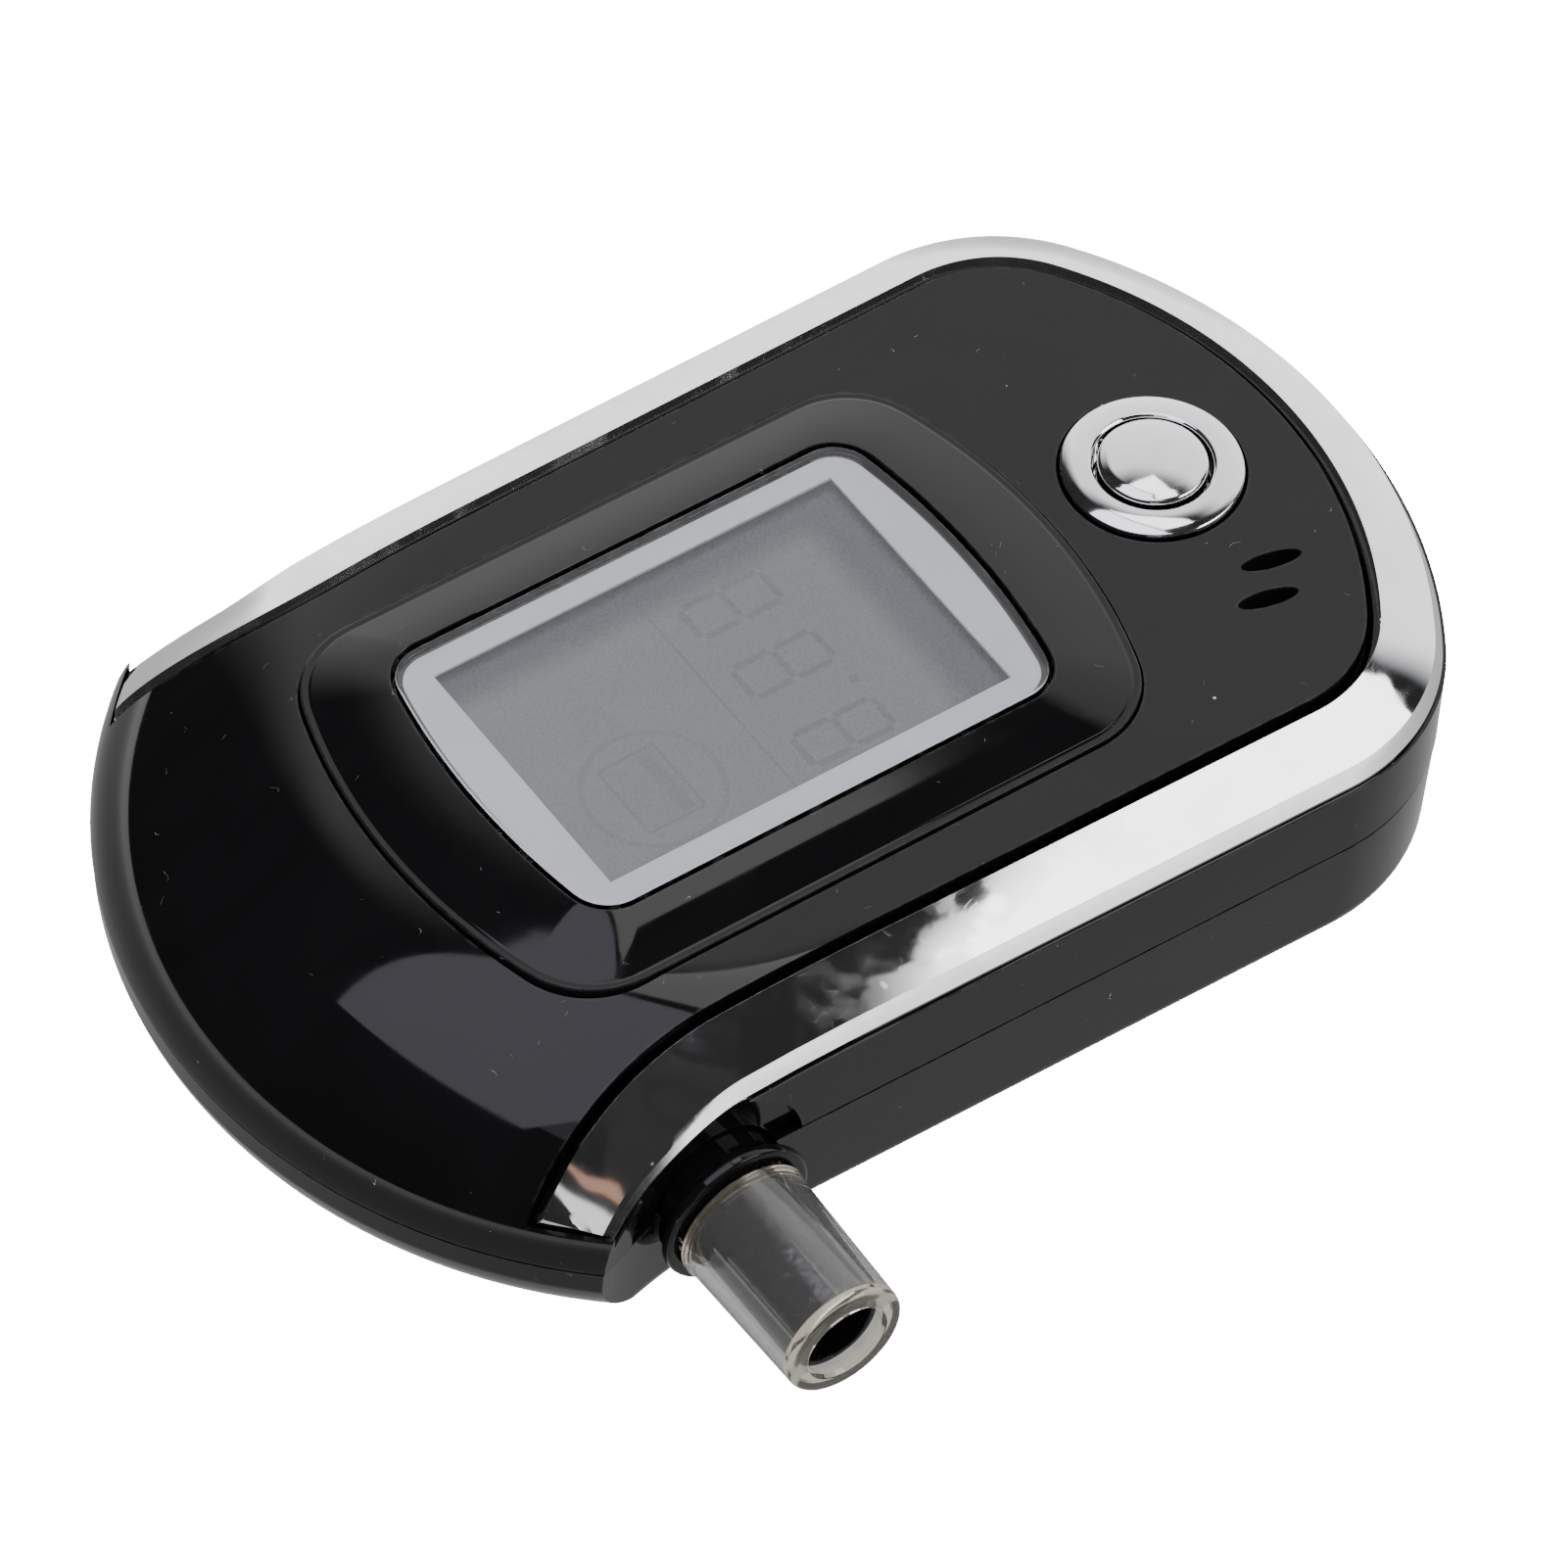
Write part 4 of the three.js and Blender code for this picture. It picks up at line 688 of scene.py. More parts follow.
# ------------------------------------------------------------------ button
def make_ring():
    t = TOP
    top_curve = [(4.6 + 2.02 * s, t + 0.82 - 0.42 * s**2.3) for s in [i / 14 for i in range(14, -1, -1)]]
    profile = [(4.35, t - 1.5), (6.7, t - 1.5), (6.7, t + 0.2)] + top_curve + [(4.38, t + 0.66)]
    ring = spun("button_ring_bright", profile, (BUTTON_X, 0, 0), steps=128)
    round_edges(ring, 0.08, 3, 25)
    return polish(ring, 40)


def make_button():
    t = TOP
    angles = [math.radians(78) * i / 8 for i in range(9)]
    rim = [(3.65 + 0.4 * math.cos(a), t + 0.67 + 0.4 * math.sin(a)) for a in angles]
    dome = [(3.7 * k / 12, t + 1.5 - 0.4 * (k / 12) ** 2.2) for k in range(11, -1, -1)]
    profile = [(0, t - 2.5), (5.1, t - 2.5), (5.1, t - 1.95), (4.05, t - 1.95)] + rim + dome
    button = spun("button_cap", profile, (BUTTON_X, 0, 0), steps=128)
    round_edges(button, 0.06, 2, 40)
    return polish(button, 45)


# ------------------------------------------------------------------ breath path
def make_socket():
    base = MOUTH_BASE + GAP
    profile = [
        (SPIGOT_BORE_R, SOCKET_TIP), (SPIGOT_R - 0.3, SOCKET_TIP), (SPIGOT_R, SOCKET_TIP + 0.5),
        (SPIGOT_R, base), (5.5, base), (5.85, base + 0.15), (5.95, base + 0.45), (5.95, base + 0.75),
        (5.75, base + 1.05), (5.35, base + 1.15), (5.0, base + 1.5), (5.0, base + 5),
        (SPIGOT_BORE_R, base + 5),
    ]
    socket = spun("socket", profile, (MOUTH_X, 0, MOUTH_Z), "along y", 96)
    round_edges(socket, 0.1, 3, 30)
    return polish(socket, 40)


def make_mouthpiece():
    tip, base = MOUTH_TIP, MOUTH_BASE
    angles = [math.pi / 2 * i / 6 for i in range(7)]
    lip = [(4.7 - 0.6 * (1 - math.cos(a)), tip + 0.6 * (1 - math.sin(a))) for a in angles]
    profile = [(MOUTH_BORE_R, base), (MOUTH_BORE_R, SOCKET_TIP - GAP), (SPIGOT_BORE_R, SOCKET_TIP - 0.7)]
    profile += [(SPIGOT_BORE_R, tip + 0.35), (3.3, tip)] + list(reversed(lip))
    profile += [(5.02, base - 0.75), (5.15, base - 0.55), (5.15, base - 0.12), (5.02, base)]
    piece = spun("clear_mouthpiece", profile, (MOUTH_X, 0, MOUTH_Z), "along y", 128)
    round_edges(piece, 0.06, 2, 35)
    return polish(piece, 45)


# ------------------------------------------------------------------ back
def make_door():
    low, high = box_mm("battery_door")
    x0, x1 = low[0] - CASE_X + 1.8, high[0] - CASE_X
    half = (high[1] - low[1]) / 2
    door = block("door", (x0, -half, low[2]), (x1, half, low[2] + 1.5))
    for i in range(5):
        x = x1 - 12 + 1.6 * i
        cut(door, block("groove", (x, -7, low[2] - 1), (x + 0.9, 7, low[2] + 0.45)))
    for y in (-4.2, 3.6):
        cut(door, block("slit", (x1 - 5, y, -1), (x1 + 1, y + 0.6, 5)))
    for y in (-HOOK_Y, HOOK_Y):
        y0, y1 = y - HOOK_HALF, y + HOOK_HALF
        join(door, block("hook_foot", (x0 + 0.7, y0, low[2] + 1), (x0 + 1.9, y1, low[2] + 2.8)))
        join(door, block("hook", (x0 - 1.8, y0, 2.1), (x0 + 1.9, y1, 3.1)))
    round_edges(door, 0.15, 3, 40)
    return polish(door, 35)


def make_screw():
    x, y, _ = middle("case_screw_1")
    x, y = x - CASE_X, y - CASE_Y
    low, high = box_mm("case_screw_1")
    z = low[2]
    profile = [(0, z), (1.7, z), (2.05, z + 0.15), (2.2, z + 0.45), (2.2, z + 1.4), (1.1, z + 1.4)]
    for i in range(14):
        profile += [(1.1, z + 1.6 + 0.75 * i), (0.85, z + 1.85 + 0.75 * i), (1.1, z + 2.1 + 0.75 * i)]
    profile += [(0, high[2])]
    screw = spun("screw", profile, (x, y, 0), steps=32)
    for dx, dy in ((1.15, 0.28), (0.28, 1.15)):
        cut(screw, block("cross", (x - dx, y - dy, z - 1), (x + dx, y + dy, z + 0.8)))
    return polish(screw, 35)


def copy_to(obj, name, source, target):
    """A copy with its own mesh, moved from one node's place to another's."""
    pick(obj)
    bpy.ops.object.duplicate()
    twin = named(name)
    shift = [b - a for a, b in zip(middle(source), middle(target))]
    twin.location = shift
    bpy.ops.object.transform_apply(location=True, rotation=True, scale=True)
    return twin


# ------------------------------------------------------------------ shader workbench
def feed(tree, socket, value):
    if isinstance(value, bpy.types.NodeSocket):
        tree.links.new(value, socket)
    else:
        socket.default_value = value


def add(tree, kind, inputs=None, **settings):
    """A node with its settings made and its inputs linked or filled in."""
    node = tree.nodes.new(kind)
    for key, value in settings.items():
        setattr(node, key, value)
    for key, value in (inputs or {}).items():
        feed(tree, node.inputs[key], value)
    return node


def calc(operation, a, b=0.0):
    """One sum, made in the tree that its linked values belong to."""
    tree = next(value.id_data for value in (a, b) if isinstance(value, bpy.types.NodeSocket))
    return add(tree, "ShaderNodeMath", {0: a, 1: b}, operation=operation).outputs[0]


def plus(a, b):
    return calc("ADD", a, b)


def minus(a, b):
    return calc("SUBTRACT", a, b)


def times(a, b):
    return calc("MULTIPLY", a, b)


def larger(a, b):
    return calc("MAXIMUM", a, b)


def noise(place, size, detail, **more):
    inputs = {"Vector": place, "Scale": size, "Detail": detail, **more}
    return add(place.id_data, "ShaderNodeTexNoise", inputs).outputs[0]


def spread(value, low, high, to_low=0.0, to_high=1.0):
    """Smoothly turns one range of values into another."""
    inputs = {0: value, 1: low, 2: high, 3: to_low, 4: to_high}
    return add(value.id_data, "ShaderNodeMapRange", inputs, interpolation_type="SMOOTHSTEP").outputs[0]


def tint(amount, first, second):
    node = add(amount.id_data, "ShaderNodeMix", {0: amount, 6: first, 7: second}, data_type="RGBA")
    return node.outputs[2]


def rgb(*values):
    return (*values, 1)


def new_group(name, inputs, outputs):
    tree = bpy.data.node_groups.new(name, "ShaderNodeTree")
    for label, value in inputs.items():
        kind = "NodeSocketVector" if value is None else "NodeSocketFloat"
        socket = tree.interface.new_socket(name=label, in_out="INPUT", socket_type=kind)
        if value is not None:
            socket.default_value = value
    for label in outputs:
        tree.interface.new_socket(name=label, in_out="OUTPUT", socket_type="NodeSocketFloat")
    return tree, tree.nodes.new("NodeGroupInput").outputs, tree.nodes.new("NodeGroupOutput").inputs


def use(tree, group, **inputs):
    node = tree.nodes.new("ShaderNodeGroup")
    node.node_tree = group
    for key, value in inputs.items():
        feed(tree, node.inputs[key.replace("_", " ").title()], value)
    return node.outputs[0]


# ------------------------------------------------------------------ shared effects
def dust_effect():
    """Sparse specks of settled dust."""
    inputs = {"Vector": None, "Scale": 1, "Size": 0.1, "Cover": 0.2}
    tree, given, result = new_group("settled dust", inputs, ["Specks"])
    cells = add(tree, "ShaderNodeTexVoronoi", {"Vector": given["Vector"], "Scale": given["Scale"]})
    pick_some = add(tree, "ShaderNodeSeparateColor", {0: cells.outputs["Color"]})
    chosen = calc("LESS_THAN", pick_some.outputs[0], given["Cover"])
    size = times(given["Size"], plus(pick_some.outputs[1], 0.3))
    near = calc("LESS_THAN", cells.outputs["Distance"], size)
    feed(tree, result["Specks"], times(chosen, near))
    return tree


def line_effect():
    """Short curved hairlines: lint on a glossy face, or fine scratches."""
    inputs = {"Vector": None, "Scale": 0.2, "Width": 0.01, "Cover": 0.3}
    tree, given, result = new_group("hairlines", inputs, ["Lines"])
    flow = noise(given["Vector"], given["Scale"], 1.0, Distortion=0.6)
    line = calc("LESS_THAN", calc("ABSOLUTE", minus(flow, 0.5)), given["Width"])
    gate = noise(given["Vector"], times(given["Scale"], 1.7), 0.0)
    some = calc("LESS_THAN", gate, given["Cover"])
    feed(tree, result["Lines"], times(line, some))
    return tree


def smear_effect():
    """Broad soft blotches of handling and wiping."""
    tree, given, result = new_group("smears", {"Vector": None, "Scale": 0.1, "Stretch": 1.0}, ["Smear"])
    parts = add(tree, "ShaderNodeSeparateXYZ", {0: given["Vector"]})
    longer = calc("DIVIDE", parts.outputs[0], given["Stretch"])
    place = add(tree, "ShaderNodeCombineXYZ", {0: longer, 1: parts.outputs[1], 2: parts.outputs[2]})
    blots = noise(place.outputs[0], given["Scale"], 4.0, Distortion=1.2)
    feed(tree, result["Smear"], spread(blots, 0.36, 0.66))
    return tree


def grain_effect():
    """Fine height of a moulded or worked skin."""
    tree, given, result = new_group("skin grain", {"Vector": None, "Scale": 3.0, "Detail": 3.0}, ["Height"])
    fine = noise(given["Vector"], given["Scale"], given["Detail"], Roughness=0.6)
    coarse = times(given["Scale"], 0.7)
    pits = add(tree, "ShaderNodeTexVoronoi", {"Vector": given["Vector"], "Scale": coarse}).outputs[0]
    feed(tree, result["Height"], plus(times(fine, 0.7), times(pits, 0.3)))
    return tree


def wear_effect():
    """Rubbed edges, broken up by a blotchy noise."""
    tree, given, result = new_group("rubbed edges", {"Vector": None, "Scale": 0.8, "Amount": 0.5}, ["Wear"])
    facing = add(tree, "ShaderNodeNewGeometry").outputs["Normal"]
    rounded = add(tree, "ShaderNodeBevel", {"Radius": 0.0004}, samples=4).outputs[0]
    match = add(tree, "ShaderNodeVectorMath", {0: facing, 1: rounded}, operation="DOT_PRODUCT")
    edge = spread(match.outputs["Value"], 0.985, 0.9)
    broken = spread(noise(given["Vector"], given["Scale"], 5.0), 0.42, 0.6)
    feed(tree, result["Wear"], times(times(edge, broken), given["Amount"]))
    return tree


def bar_effect():
    """A soft-edged bar or slab centred on a point of the X-Y plane."""
    inputs = {"Vector": None, "Centre X": 0, "Centre Y": 0, "Half X": 1, "Half Y": 1, "Blur": 0.1}
    tree, given, result = new_group("bar", inputs, ["Mask"])
    parts = add(tree, "ShaderNodeSeparateXYZ", {0: given["Vector"]})
    sides = []
    for axis, centre, half in ((0, "Centre X", "Half X"), (1, "Centre Y", "Half Y")):
        away = calc("ABSOLUTE", minus(parts.outputs[axis], given[centre]))
        past = minus(away, given[half])
        inside = calc("DIVIDE", times(past, -1.0), given["Blur"])
        sides.append(spread(inside, 0.0, 1.0))
    feed(tree, result["Mask"], times(sides[0], sides[1]))
    return tree


dust = dust_effect()
lines = line_effect()
smear = smear_effect()
grain = grain_effect()
wear = wear_effect()
bar = bar_effect()


# ------------------------------------------------------------------ finishes
class Finish:
    """A material with its shader and a place in millimetres about the case's centreline."""

    def __init__(self, name):
        self.material = bpy.data.materials.new(name)
        self.material.use_nodes = True
        self.tree = self.material.node_tree
        self.shader = self.tree.nodes["Principled BSDF"]
        coordinates = add(self.tree, "ShaderNodeTexCoord")
        mapping = add(self.tree, "ShaderNodeMapping", {"Vector": coordinates.outputs["Object"]})
        mapping.inputs["Location"].default_value = (-CASE_X, -CASE_Y, 0)
        mapping.inputs["Scale"].default_value = (1000, 1000, 1000)
        self.place = mapping.outputs[0]

    def set(self, **values):
        for key, value in values.items():
            feed(self.tree, self.shader.inputs[key.replace("_", " ")], value)

    def effect(self, group, **values):
        return use(self.tree, group, vector=self.place, **values)

    def relief(self, height, strength, distance=0.0002):
        inputs = {"Height": height, "Strength": strength, "Distance": distance}
        feed(self.tree, self.shader.inputs["Normal"], add(self.tree, "ShaderNodeBump", inputs).outputs[0])


def black_gloss_finish(name, base, lint, shine, peel):
    f = Finish(name)
    handled = f.effect(smear, scale=0.09, stretch=1.6)
    hairs = f.effect(lines, scale=0.5, width=0.0012, cover=0.22)
    specks = larger(f.effect(dust, scale=0.42, size=0.055, cover=lint), hairs)
    rubbed = f.effect(wear, scale=0.9, amount=0.5)
    colour = tint(handled, rgb(*base), rgb(*[1.15 * v for v in base]))
    colour = tint(rubbed, colour, rgb(0.02, 0.02, 0.021))
    colour = tint(specks, colour, rgb(0.2, 0.2, 0.19))
    scratches = f.effect(lines, scale=0.35, width=0.004, cover=0.42)
    rough = plus(spread(handled, 0, 1, shine, shine + 0.035), times(scratches, 0.03))
    rough = larger(rough, times(specks, 0.6))
    f.set(Base_Color=colour, Roughness=larger(rough, times(rubbed, 0.3)))
    f.set(Specular_IOR_Level=0.31)
    f.relief(f.effect(grain, scale=0.5, detail=1.0), peel)
    return f.material


def chrome_finish():
    f = Finish("bright chrome")
    handled = f.effect(smear, scale=0.16, stretch=1.0)
    specks = f.effect(dust, scale=0.5, size=0.06, cover=0.08)
    rubbed = f.effect(wear, scale=1.5, amount=0.6)
    colour = tint(handled, rgb(0.88, 0.885, 0.9), rgb(0.82, 0.825, 0.84))
    colour = tint(rubbed, colour, rgb(0.7, 0.68, 0.64))
    colour = tint(specks, colour, rgb(0.5, 0.5, 0.48))
    scratches = f.effect(lines, scale=0.5, width=0.004, cover=0.44)
    rough = plus(spread(handled, 0, 1, 0.03, 0.09), times(scratches, 0.05))
    f.set(Base_Color=colour, Metallic=1.0, Roughness=larger(rough, times(specks, 0.5)))
    f.relief(f.effect(grain, scale=0.3, detail=0.0), 0.005)
    return f.material


def clear_finish():
    f = Finish("clear acrylic")
    scuffs = f.effect(lines, scale=0.45, width=0.012, cover=0.42)
    half_x, half_y = LENS["length"] / 2 - 0.2, LENS["width"] / 2 - 0.25
    middle_part = f.effect(bar, centre_x=DISPLAY_X, centre_y=0.0, half_x=half_x, half_y=half_y, blur=0.6)
    edge = minus(1.0, middle_part)
    frosted = times(edge, spread(noise(f.place, 0.6, 4.0), 0.45, 0.6))
    specks = f.effect(dust, scale=0.4, size=0.05, cover=0.12)
    colour = tint(edge, rgb(0.97, 0.98, 0.985), rgb(0.84, 0.9, 0.95))
    f.set(Base_Color=tint(specks, colour, rgb(0.9, 0.9, 0.88)), Transmission_Weight=1.0, IOR=1.49)
    rough = plus(times(frosted, 0.22), times(scuffs, 0.04))
    f.set(Roughness=larger(rough, times(specks, 0.6)))
    f.relief(f.effect(grain, scale=0.15, detail=0.0), 0.01)
    return f.material


def print_finish():
    f = Finish("silver print")
    cloudy = f.effect(smear, scale=0.06, stretch=2.0)
    fine = f.effect(grain, scale=9.0, detail=2.0)
    colour = tint(cloudy, rgb(0.88, 0.89, 0.91), rgb(0.92, 0.925, 0.94))
    colour = tint(times(fine, 0.12), colour, rgb(0.7, 0.7, 0.72))
    specks = f.effect(dust, scale=0.45, size=0.05, cover=0.1)
    f.set(Base_Color=tint(specks, colour, rgb(0.9, 0.9, 0.9)))
    f.set(Roughness=spread(fine, 0.3, 0.7, 0.42, 0.55))
    f.relief(fine, 0.05, 0.00003)
    return f.material


def digit_bars(cx, cy):
    """Centres and half sizes of the seven bars of a digit that reads from the far end of the case."""
    tall, wide, thin, gap = 1.72, 1.55, 0.33, 0.14
    flat = [(cx + 2 * tall * k, cy, thin, wide - gap) for k in (-1, 0, 1)]
    upright_bars = [(cx + tall * a, cy + wide * b, tall - gap - 0.1, thin) for a in (-1, 1) for b in (-1, 1)]
    return flat + upright_bars


def display_finish():
    f = Finish("reflective display")
    tree = f.tree
    shift = add(tree, "ShaderNodeMapping", {"Vector": f.place})
    shift.inputs["Location"].default_value = (-DISPLAY_X, 0, 0)
    place = shift.outputs[0]

    def slab(cx, cy, half_x, half_y, blur=0.12):
        size = {"half_x": half_x, "half_y": half_y, "blur": blur}
        return use(tree, bar, vector=place, centre_x=cx, centre_y=cy, **size)

    bars = [shape for y in (-8.2, -0.9, 5.6) for shape in digit_bars(4.6, y)]
    dot, rule = (8.0, -4.7, 0.42, 0.42), (-1.0, -1.2, 0.16, 9.4)
    marks = 0.0
    for shape in bars + [dot, rule]:
        marks = larger(marks, slab(*shape))
    from_icon = add(tree, "ShaderNodeVectorMath", {0: place, 1: (-9.5, -5.3, 0)}, operation="SUBTRACT")
    flat = add(tree, "ShaderNodeVectorMath", {0: from_icon.outputs[0], 1: (1, 1, 0)}, operation="MULTIPLY")
    reach = add(tree, "ShaderNodeVectorMath", {0: flat.outputs[0]}, operation="LENGTH").outputs["Value"]
    disc = spread(calc("ABSOLUTE", minus(reach, 5.1)), 0.3, 0.16)
    card = slab(-9.6, -5.2, 2.6, 3.5, 0.5)
    card_edge = times(times(card, minus(1.0, card)), 3.6)
    stripe = slab(-8.4, -5.2, 0.8, 3.1, 0.4)
    marks = larger(marks, times(disc, 0.55))
    marks = larger(marks, larger(times(card, 0.2), card_edge))
    marks = larger(marks, times(stripe, 0.7))
    # painted shade: outside this soft slab the display turns dark blue along its far and +X edges, standing
    # in for the shadow of the bezel walls
    clear_of_painted_shade = slab(-3.4, -1.6, 18.2, 11.4, 3.2)
    parts = add(tree, "ShaderNodeSeparateXYZ", {0: place})
    slope = spread(parts.outputs[0], -17.0, 14.0)
    colour = tint(slope, rgb(0.21, 0.214, 0.218), rgb(0.185, 0.19, 0.198))
    # painted shade colour laid over the display's edges
    colour = tint(minus(1.0, clear_of_painted_shade), colour, rgb(0.055, 0.06, 0.085))
    colour = tint(times(marks, 0.5), colour, rgb(0.07, 0.078, 0.1))
    specks = f.effect(dust, scale=0.3, size=0.05, cover=0.16)
    colour = tint(specks, colour, rgb(0.85, 0.86, 0.88))
    fine = f.effect(grain, scale=6.0, detail=1.0)
    f.set(Base_Color=colour, Roughness=spread(fine, 0.3, 0.7, 0.24, 0.34))
    f.relief(fine, 0.03, 0.00002)
    return f.material


def smoky_finish():
    f = Finish("smoky clear")
    tree = f.tree
    streaks = add(tree, "ShaderNodeMapping", {"Vector": f.place})
    streaks.inputs["Scale"].default_value = (1, 0.09, 1)
    drawn = noise(streaks.outputs[0], 0.7, 4.0)
    scratches = f.effect(lines, scale=0.6, width=0.01, cover=0.45)
    parts = add(tree, "ShaderNodeSeparateXYZ", {0: f.place})
    lip = spread(parts.outputs[1], MOUTH_TIP + 1.6, MOUTH_TIP + 0.9)
    foot = spread(parts.outputs[1], MOUTH_BASE - 1.1, MOUTH_BASE - 0.6)
    body = tint(spread(drawn, 0.4, 0.62), rgb(0.8, 0.79, 0.77), rgb(0.7, 0.7, 0.7))
    body = tint(lip, body, rgb(0.9, 0.84, 0.7))
    body = tint(foot, body, rgb(0.88, 0.82, 0.66))
    f.set(Base_Color=body, Transmission_Weight=0.975, IOR=1.5)
    rough = plus(spread(drawn, 0.4, 0.65, 0.02, 0.07), times(scratches, 0.12))
    f.set(Roughness=rough)
    f.relief(plus(drawn, f.effect(grain, scale=1.2, detail=1.0)), 0.02)
    return f.material


def moulded_finish(name, light, dark, low, high, size, strength, metal=0.0):
    """A plain moulded, rubber or plated finish: two tones, grain, rubbed edges and a little dust."""
    f = Finish(name)
    cloudy = f.effect(smear, scale=0.25, stretch=1.3)
    fine = f.effect(grain, scale=size, detail=3.0)
    rubbed = f.effect(wear, scale=1.2, amount=0.5)
    specks = f.effect(dust, scale=0.6, size=0.06, cover=0.12)
    colour = tint(cloudy, rgb(*light), rgb(*dark))
    colour = tint(rubbed, colour, rgb(*[min(1, 1.3 * v + 0.03) for v in light]))
    f.set(Base_Color=tint(specks, colour, rgb(0.4, 0.39, 0.37)))
    rough = plus(spread(fine, 0.3, 0.7, low, high), times(cloudy, 0.08))
    f.set(Roughness=rough, Metallic=metal)
    f.relief(fine, strength)
    return f.material


def board_finish():
    f = Finish("green circuit board")
    tree = f.tree
    tracks = add(tree, "ShaderNodeTexVoronoi", {"Vector": f.place, "Scale": 0.55}, feature="DISTANCE_TO_EDGE")
    cells = add(tree, "ShaderNodeTexVoronoi", {"Vector": f.place, "Scale": 0.55}, distance="CHEBYCHEV")
    copper = spread(tracks.outputs["Distance"], 0.09, 0.07)
    pads = spread(cells.outputs["Distance"], 0.16, 0.14)
    colour = tint(copper, rgb(0.012, 0.09, 0.035), rgb(0.03, 0.17, 0.06))
    colour = tint(pads, colour, rgb(0.62, 0.6, 0.55))
    specks = f.effect(dust, scale=0.8, size=0.07, cover=0.15)
    f.set(Base_Color=tint(specks, colour, rgb(0.4, 0.4, 0.38)))
    fine = f.effect(grain, scale=3.0, detail=2.0)
    f.set(Metallic=times(pads, 0.9), Roughness=spread(fine, 0.3, 0.7, 0.24, 0.38))
    f.relief(plus(copper, pads), 0.25, 0.00005)
    return f.material


def sleeve_finish():
    """A printed cell sleeve: dark body, copper-coloured end band, bare metal past the sleeve's ends."""
    f = Finish("cell sleeve")
    low, high = box_mm("cell_1")
    low_x, high_x = low[0] - CASE_X, high[0] - CASE_X
    centre, half = (low_x + high_x) / 2, (high_x - low_x) / 2
    wrapped = f.effect(bar, centre_x=centre, centre_y=0.0, half_x=half - 1.3, half_y=60.0, blur=0.05)
    band = f.effect(bar, centre_x=high_x - 8.0, centre_y=0.0, half_x=6.0, half_y=60.0, blur=0.1)
    cloudy = f.effect(smear, scale=0.3, stretch=2.0)
    body = tint(cloudy, rgb(0.012, 0.012, 0.014), rgb(0.02, 0.02, 0.022))
    body = tint(band, body, rgb(0.42, 0.2, 0.07))
    specks = f.effect(dust, scale=0.6, size=0.06, cover=0.12)
    body = tint(specks, body, rgb(0.4, 0.4, 0.38))
    scratches = f.effect(lines, scale=0.5, width=0.002, cover=0.34)
    steel = tint(cloudy, rgb(0.62, 0.62, 0.63), rgb(0.5, 0.5, 0.51))
    f.set(Base_Color=tint(wrapped, steel, tint(scratches, body, rgb(0.3, 0.3, 0.3))))
    metal = larger(minus(1.0, wrapped), times(band, 0.7))
    f.set(Metallic=metal, Roughness=spread(cloudy, 0, 1, 0.22, 0.34))
    f.relief(f.effect(grain, scale=2.0, detail=2.0), 0.05)
    return f.material


PALE, SHADED = (0.8, 0.8, 0.78), (0.72, 0.72, 0.69)
COAL, ASH = (0.012, 0.012, 0.013), (0.02, 0.02, 0.021)
RUBBER, WORN_RUBBER = (0.02, 0.02, 0.02), (0.034, 0.034, 0.033)
NICKEL, DULL_NICKEL = (0.62, 0.61, 0.59), (0.5, 0.49, 0.48)
RED, DARK_RED = (0.4, 0.012, 0.012), (0.28, 0.01, 0.01)
finishes = {
    "black_gloss": black_gloss_finish("black gloss", (0.002, 0.002, 0.0022), 0.05, 0.035, 0.003),
    "chrome_trim": chrome_finish(),
    "clear_window": clear_finish(),
    "clear_mouthpiece": smoky_finish(),
    "silver_print": print_finish(),
    "display_glass": display_finish(),
    "milky_plastic": moulded_finish("milky plastic", PALE, SHADED, 0.4, 0.55, 4.0, 0.1),
    "circuit_board": board_finish(),
    "dark_plastic": moulded_finish("matt black moulding", COAL, ASH, 0.45, 0.65, 5.0, 0.2),
    "rubber_parts": moulded_finish("soft rubber", RUBBER, WORN_RUBBER, 0.7, 0.85, 3.0, 0.25),
    "contact_steel": moulded_finish("nickelled steel", NICKEL, DULL_NICKEL, 0.18, 0.3, 1.5, 0.06, 1.0),
    "cell_sleeve": sleeve_finish(),
    "red_sleeve": moulded_finish("red insulation", RED, DARK_RED, 0.35, 0.5, 2.0, 0.1),
}

# ------------------------------------------------------------------ pieces in place
new_pieces = [
    (make_front_shell, "case", "front_shell"),
    (make_rear_shell, "case", "rear_shell"),
    (make_band, "case", "trim_band"),
    (make_bezel, "case", "display_bezel"),
    (make_lens, "case", "display_lens"),
    (make_mask, "case", "window_mask"),
    (make_display, "case", "lcd_panel"),
    (make_ring, "case", "button_ring"),
    (make_button, "button", "power_button"),
    (make_socket, "case", "mouthpiece_socket"),
    (make_mouthpiece, "mouthpiece", "mouthpiece"),
    (make_door, "door", "battery_door"),
]
slots = {part["node"]: part["material_slot"] for part in frame["record"]["subparts"]}
for make, body, node in new_pieces:
    settle(make(), body, finishes[slots[node]], slots[node], node)

screw = make_screw()
twins = [copy_to(screw, f"case_screw_bright_{i}", "case_screw_1", f"case_screw_{i}") for i in (2, 3, 4)]
for number, piece in enumerate([screw] + twins, 1):
    settle(piece, "case", finishes["contact_steel"], "contact_steel", f"case_screw_{number}")

for node, obj in frame["nodes"].items():
    if obj.material_slots:
        obj.material_slots[0].material = finishes[slots[node]]

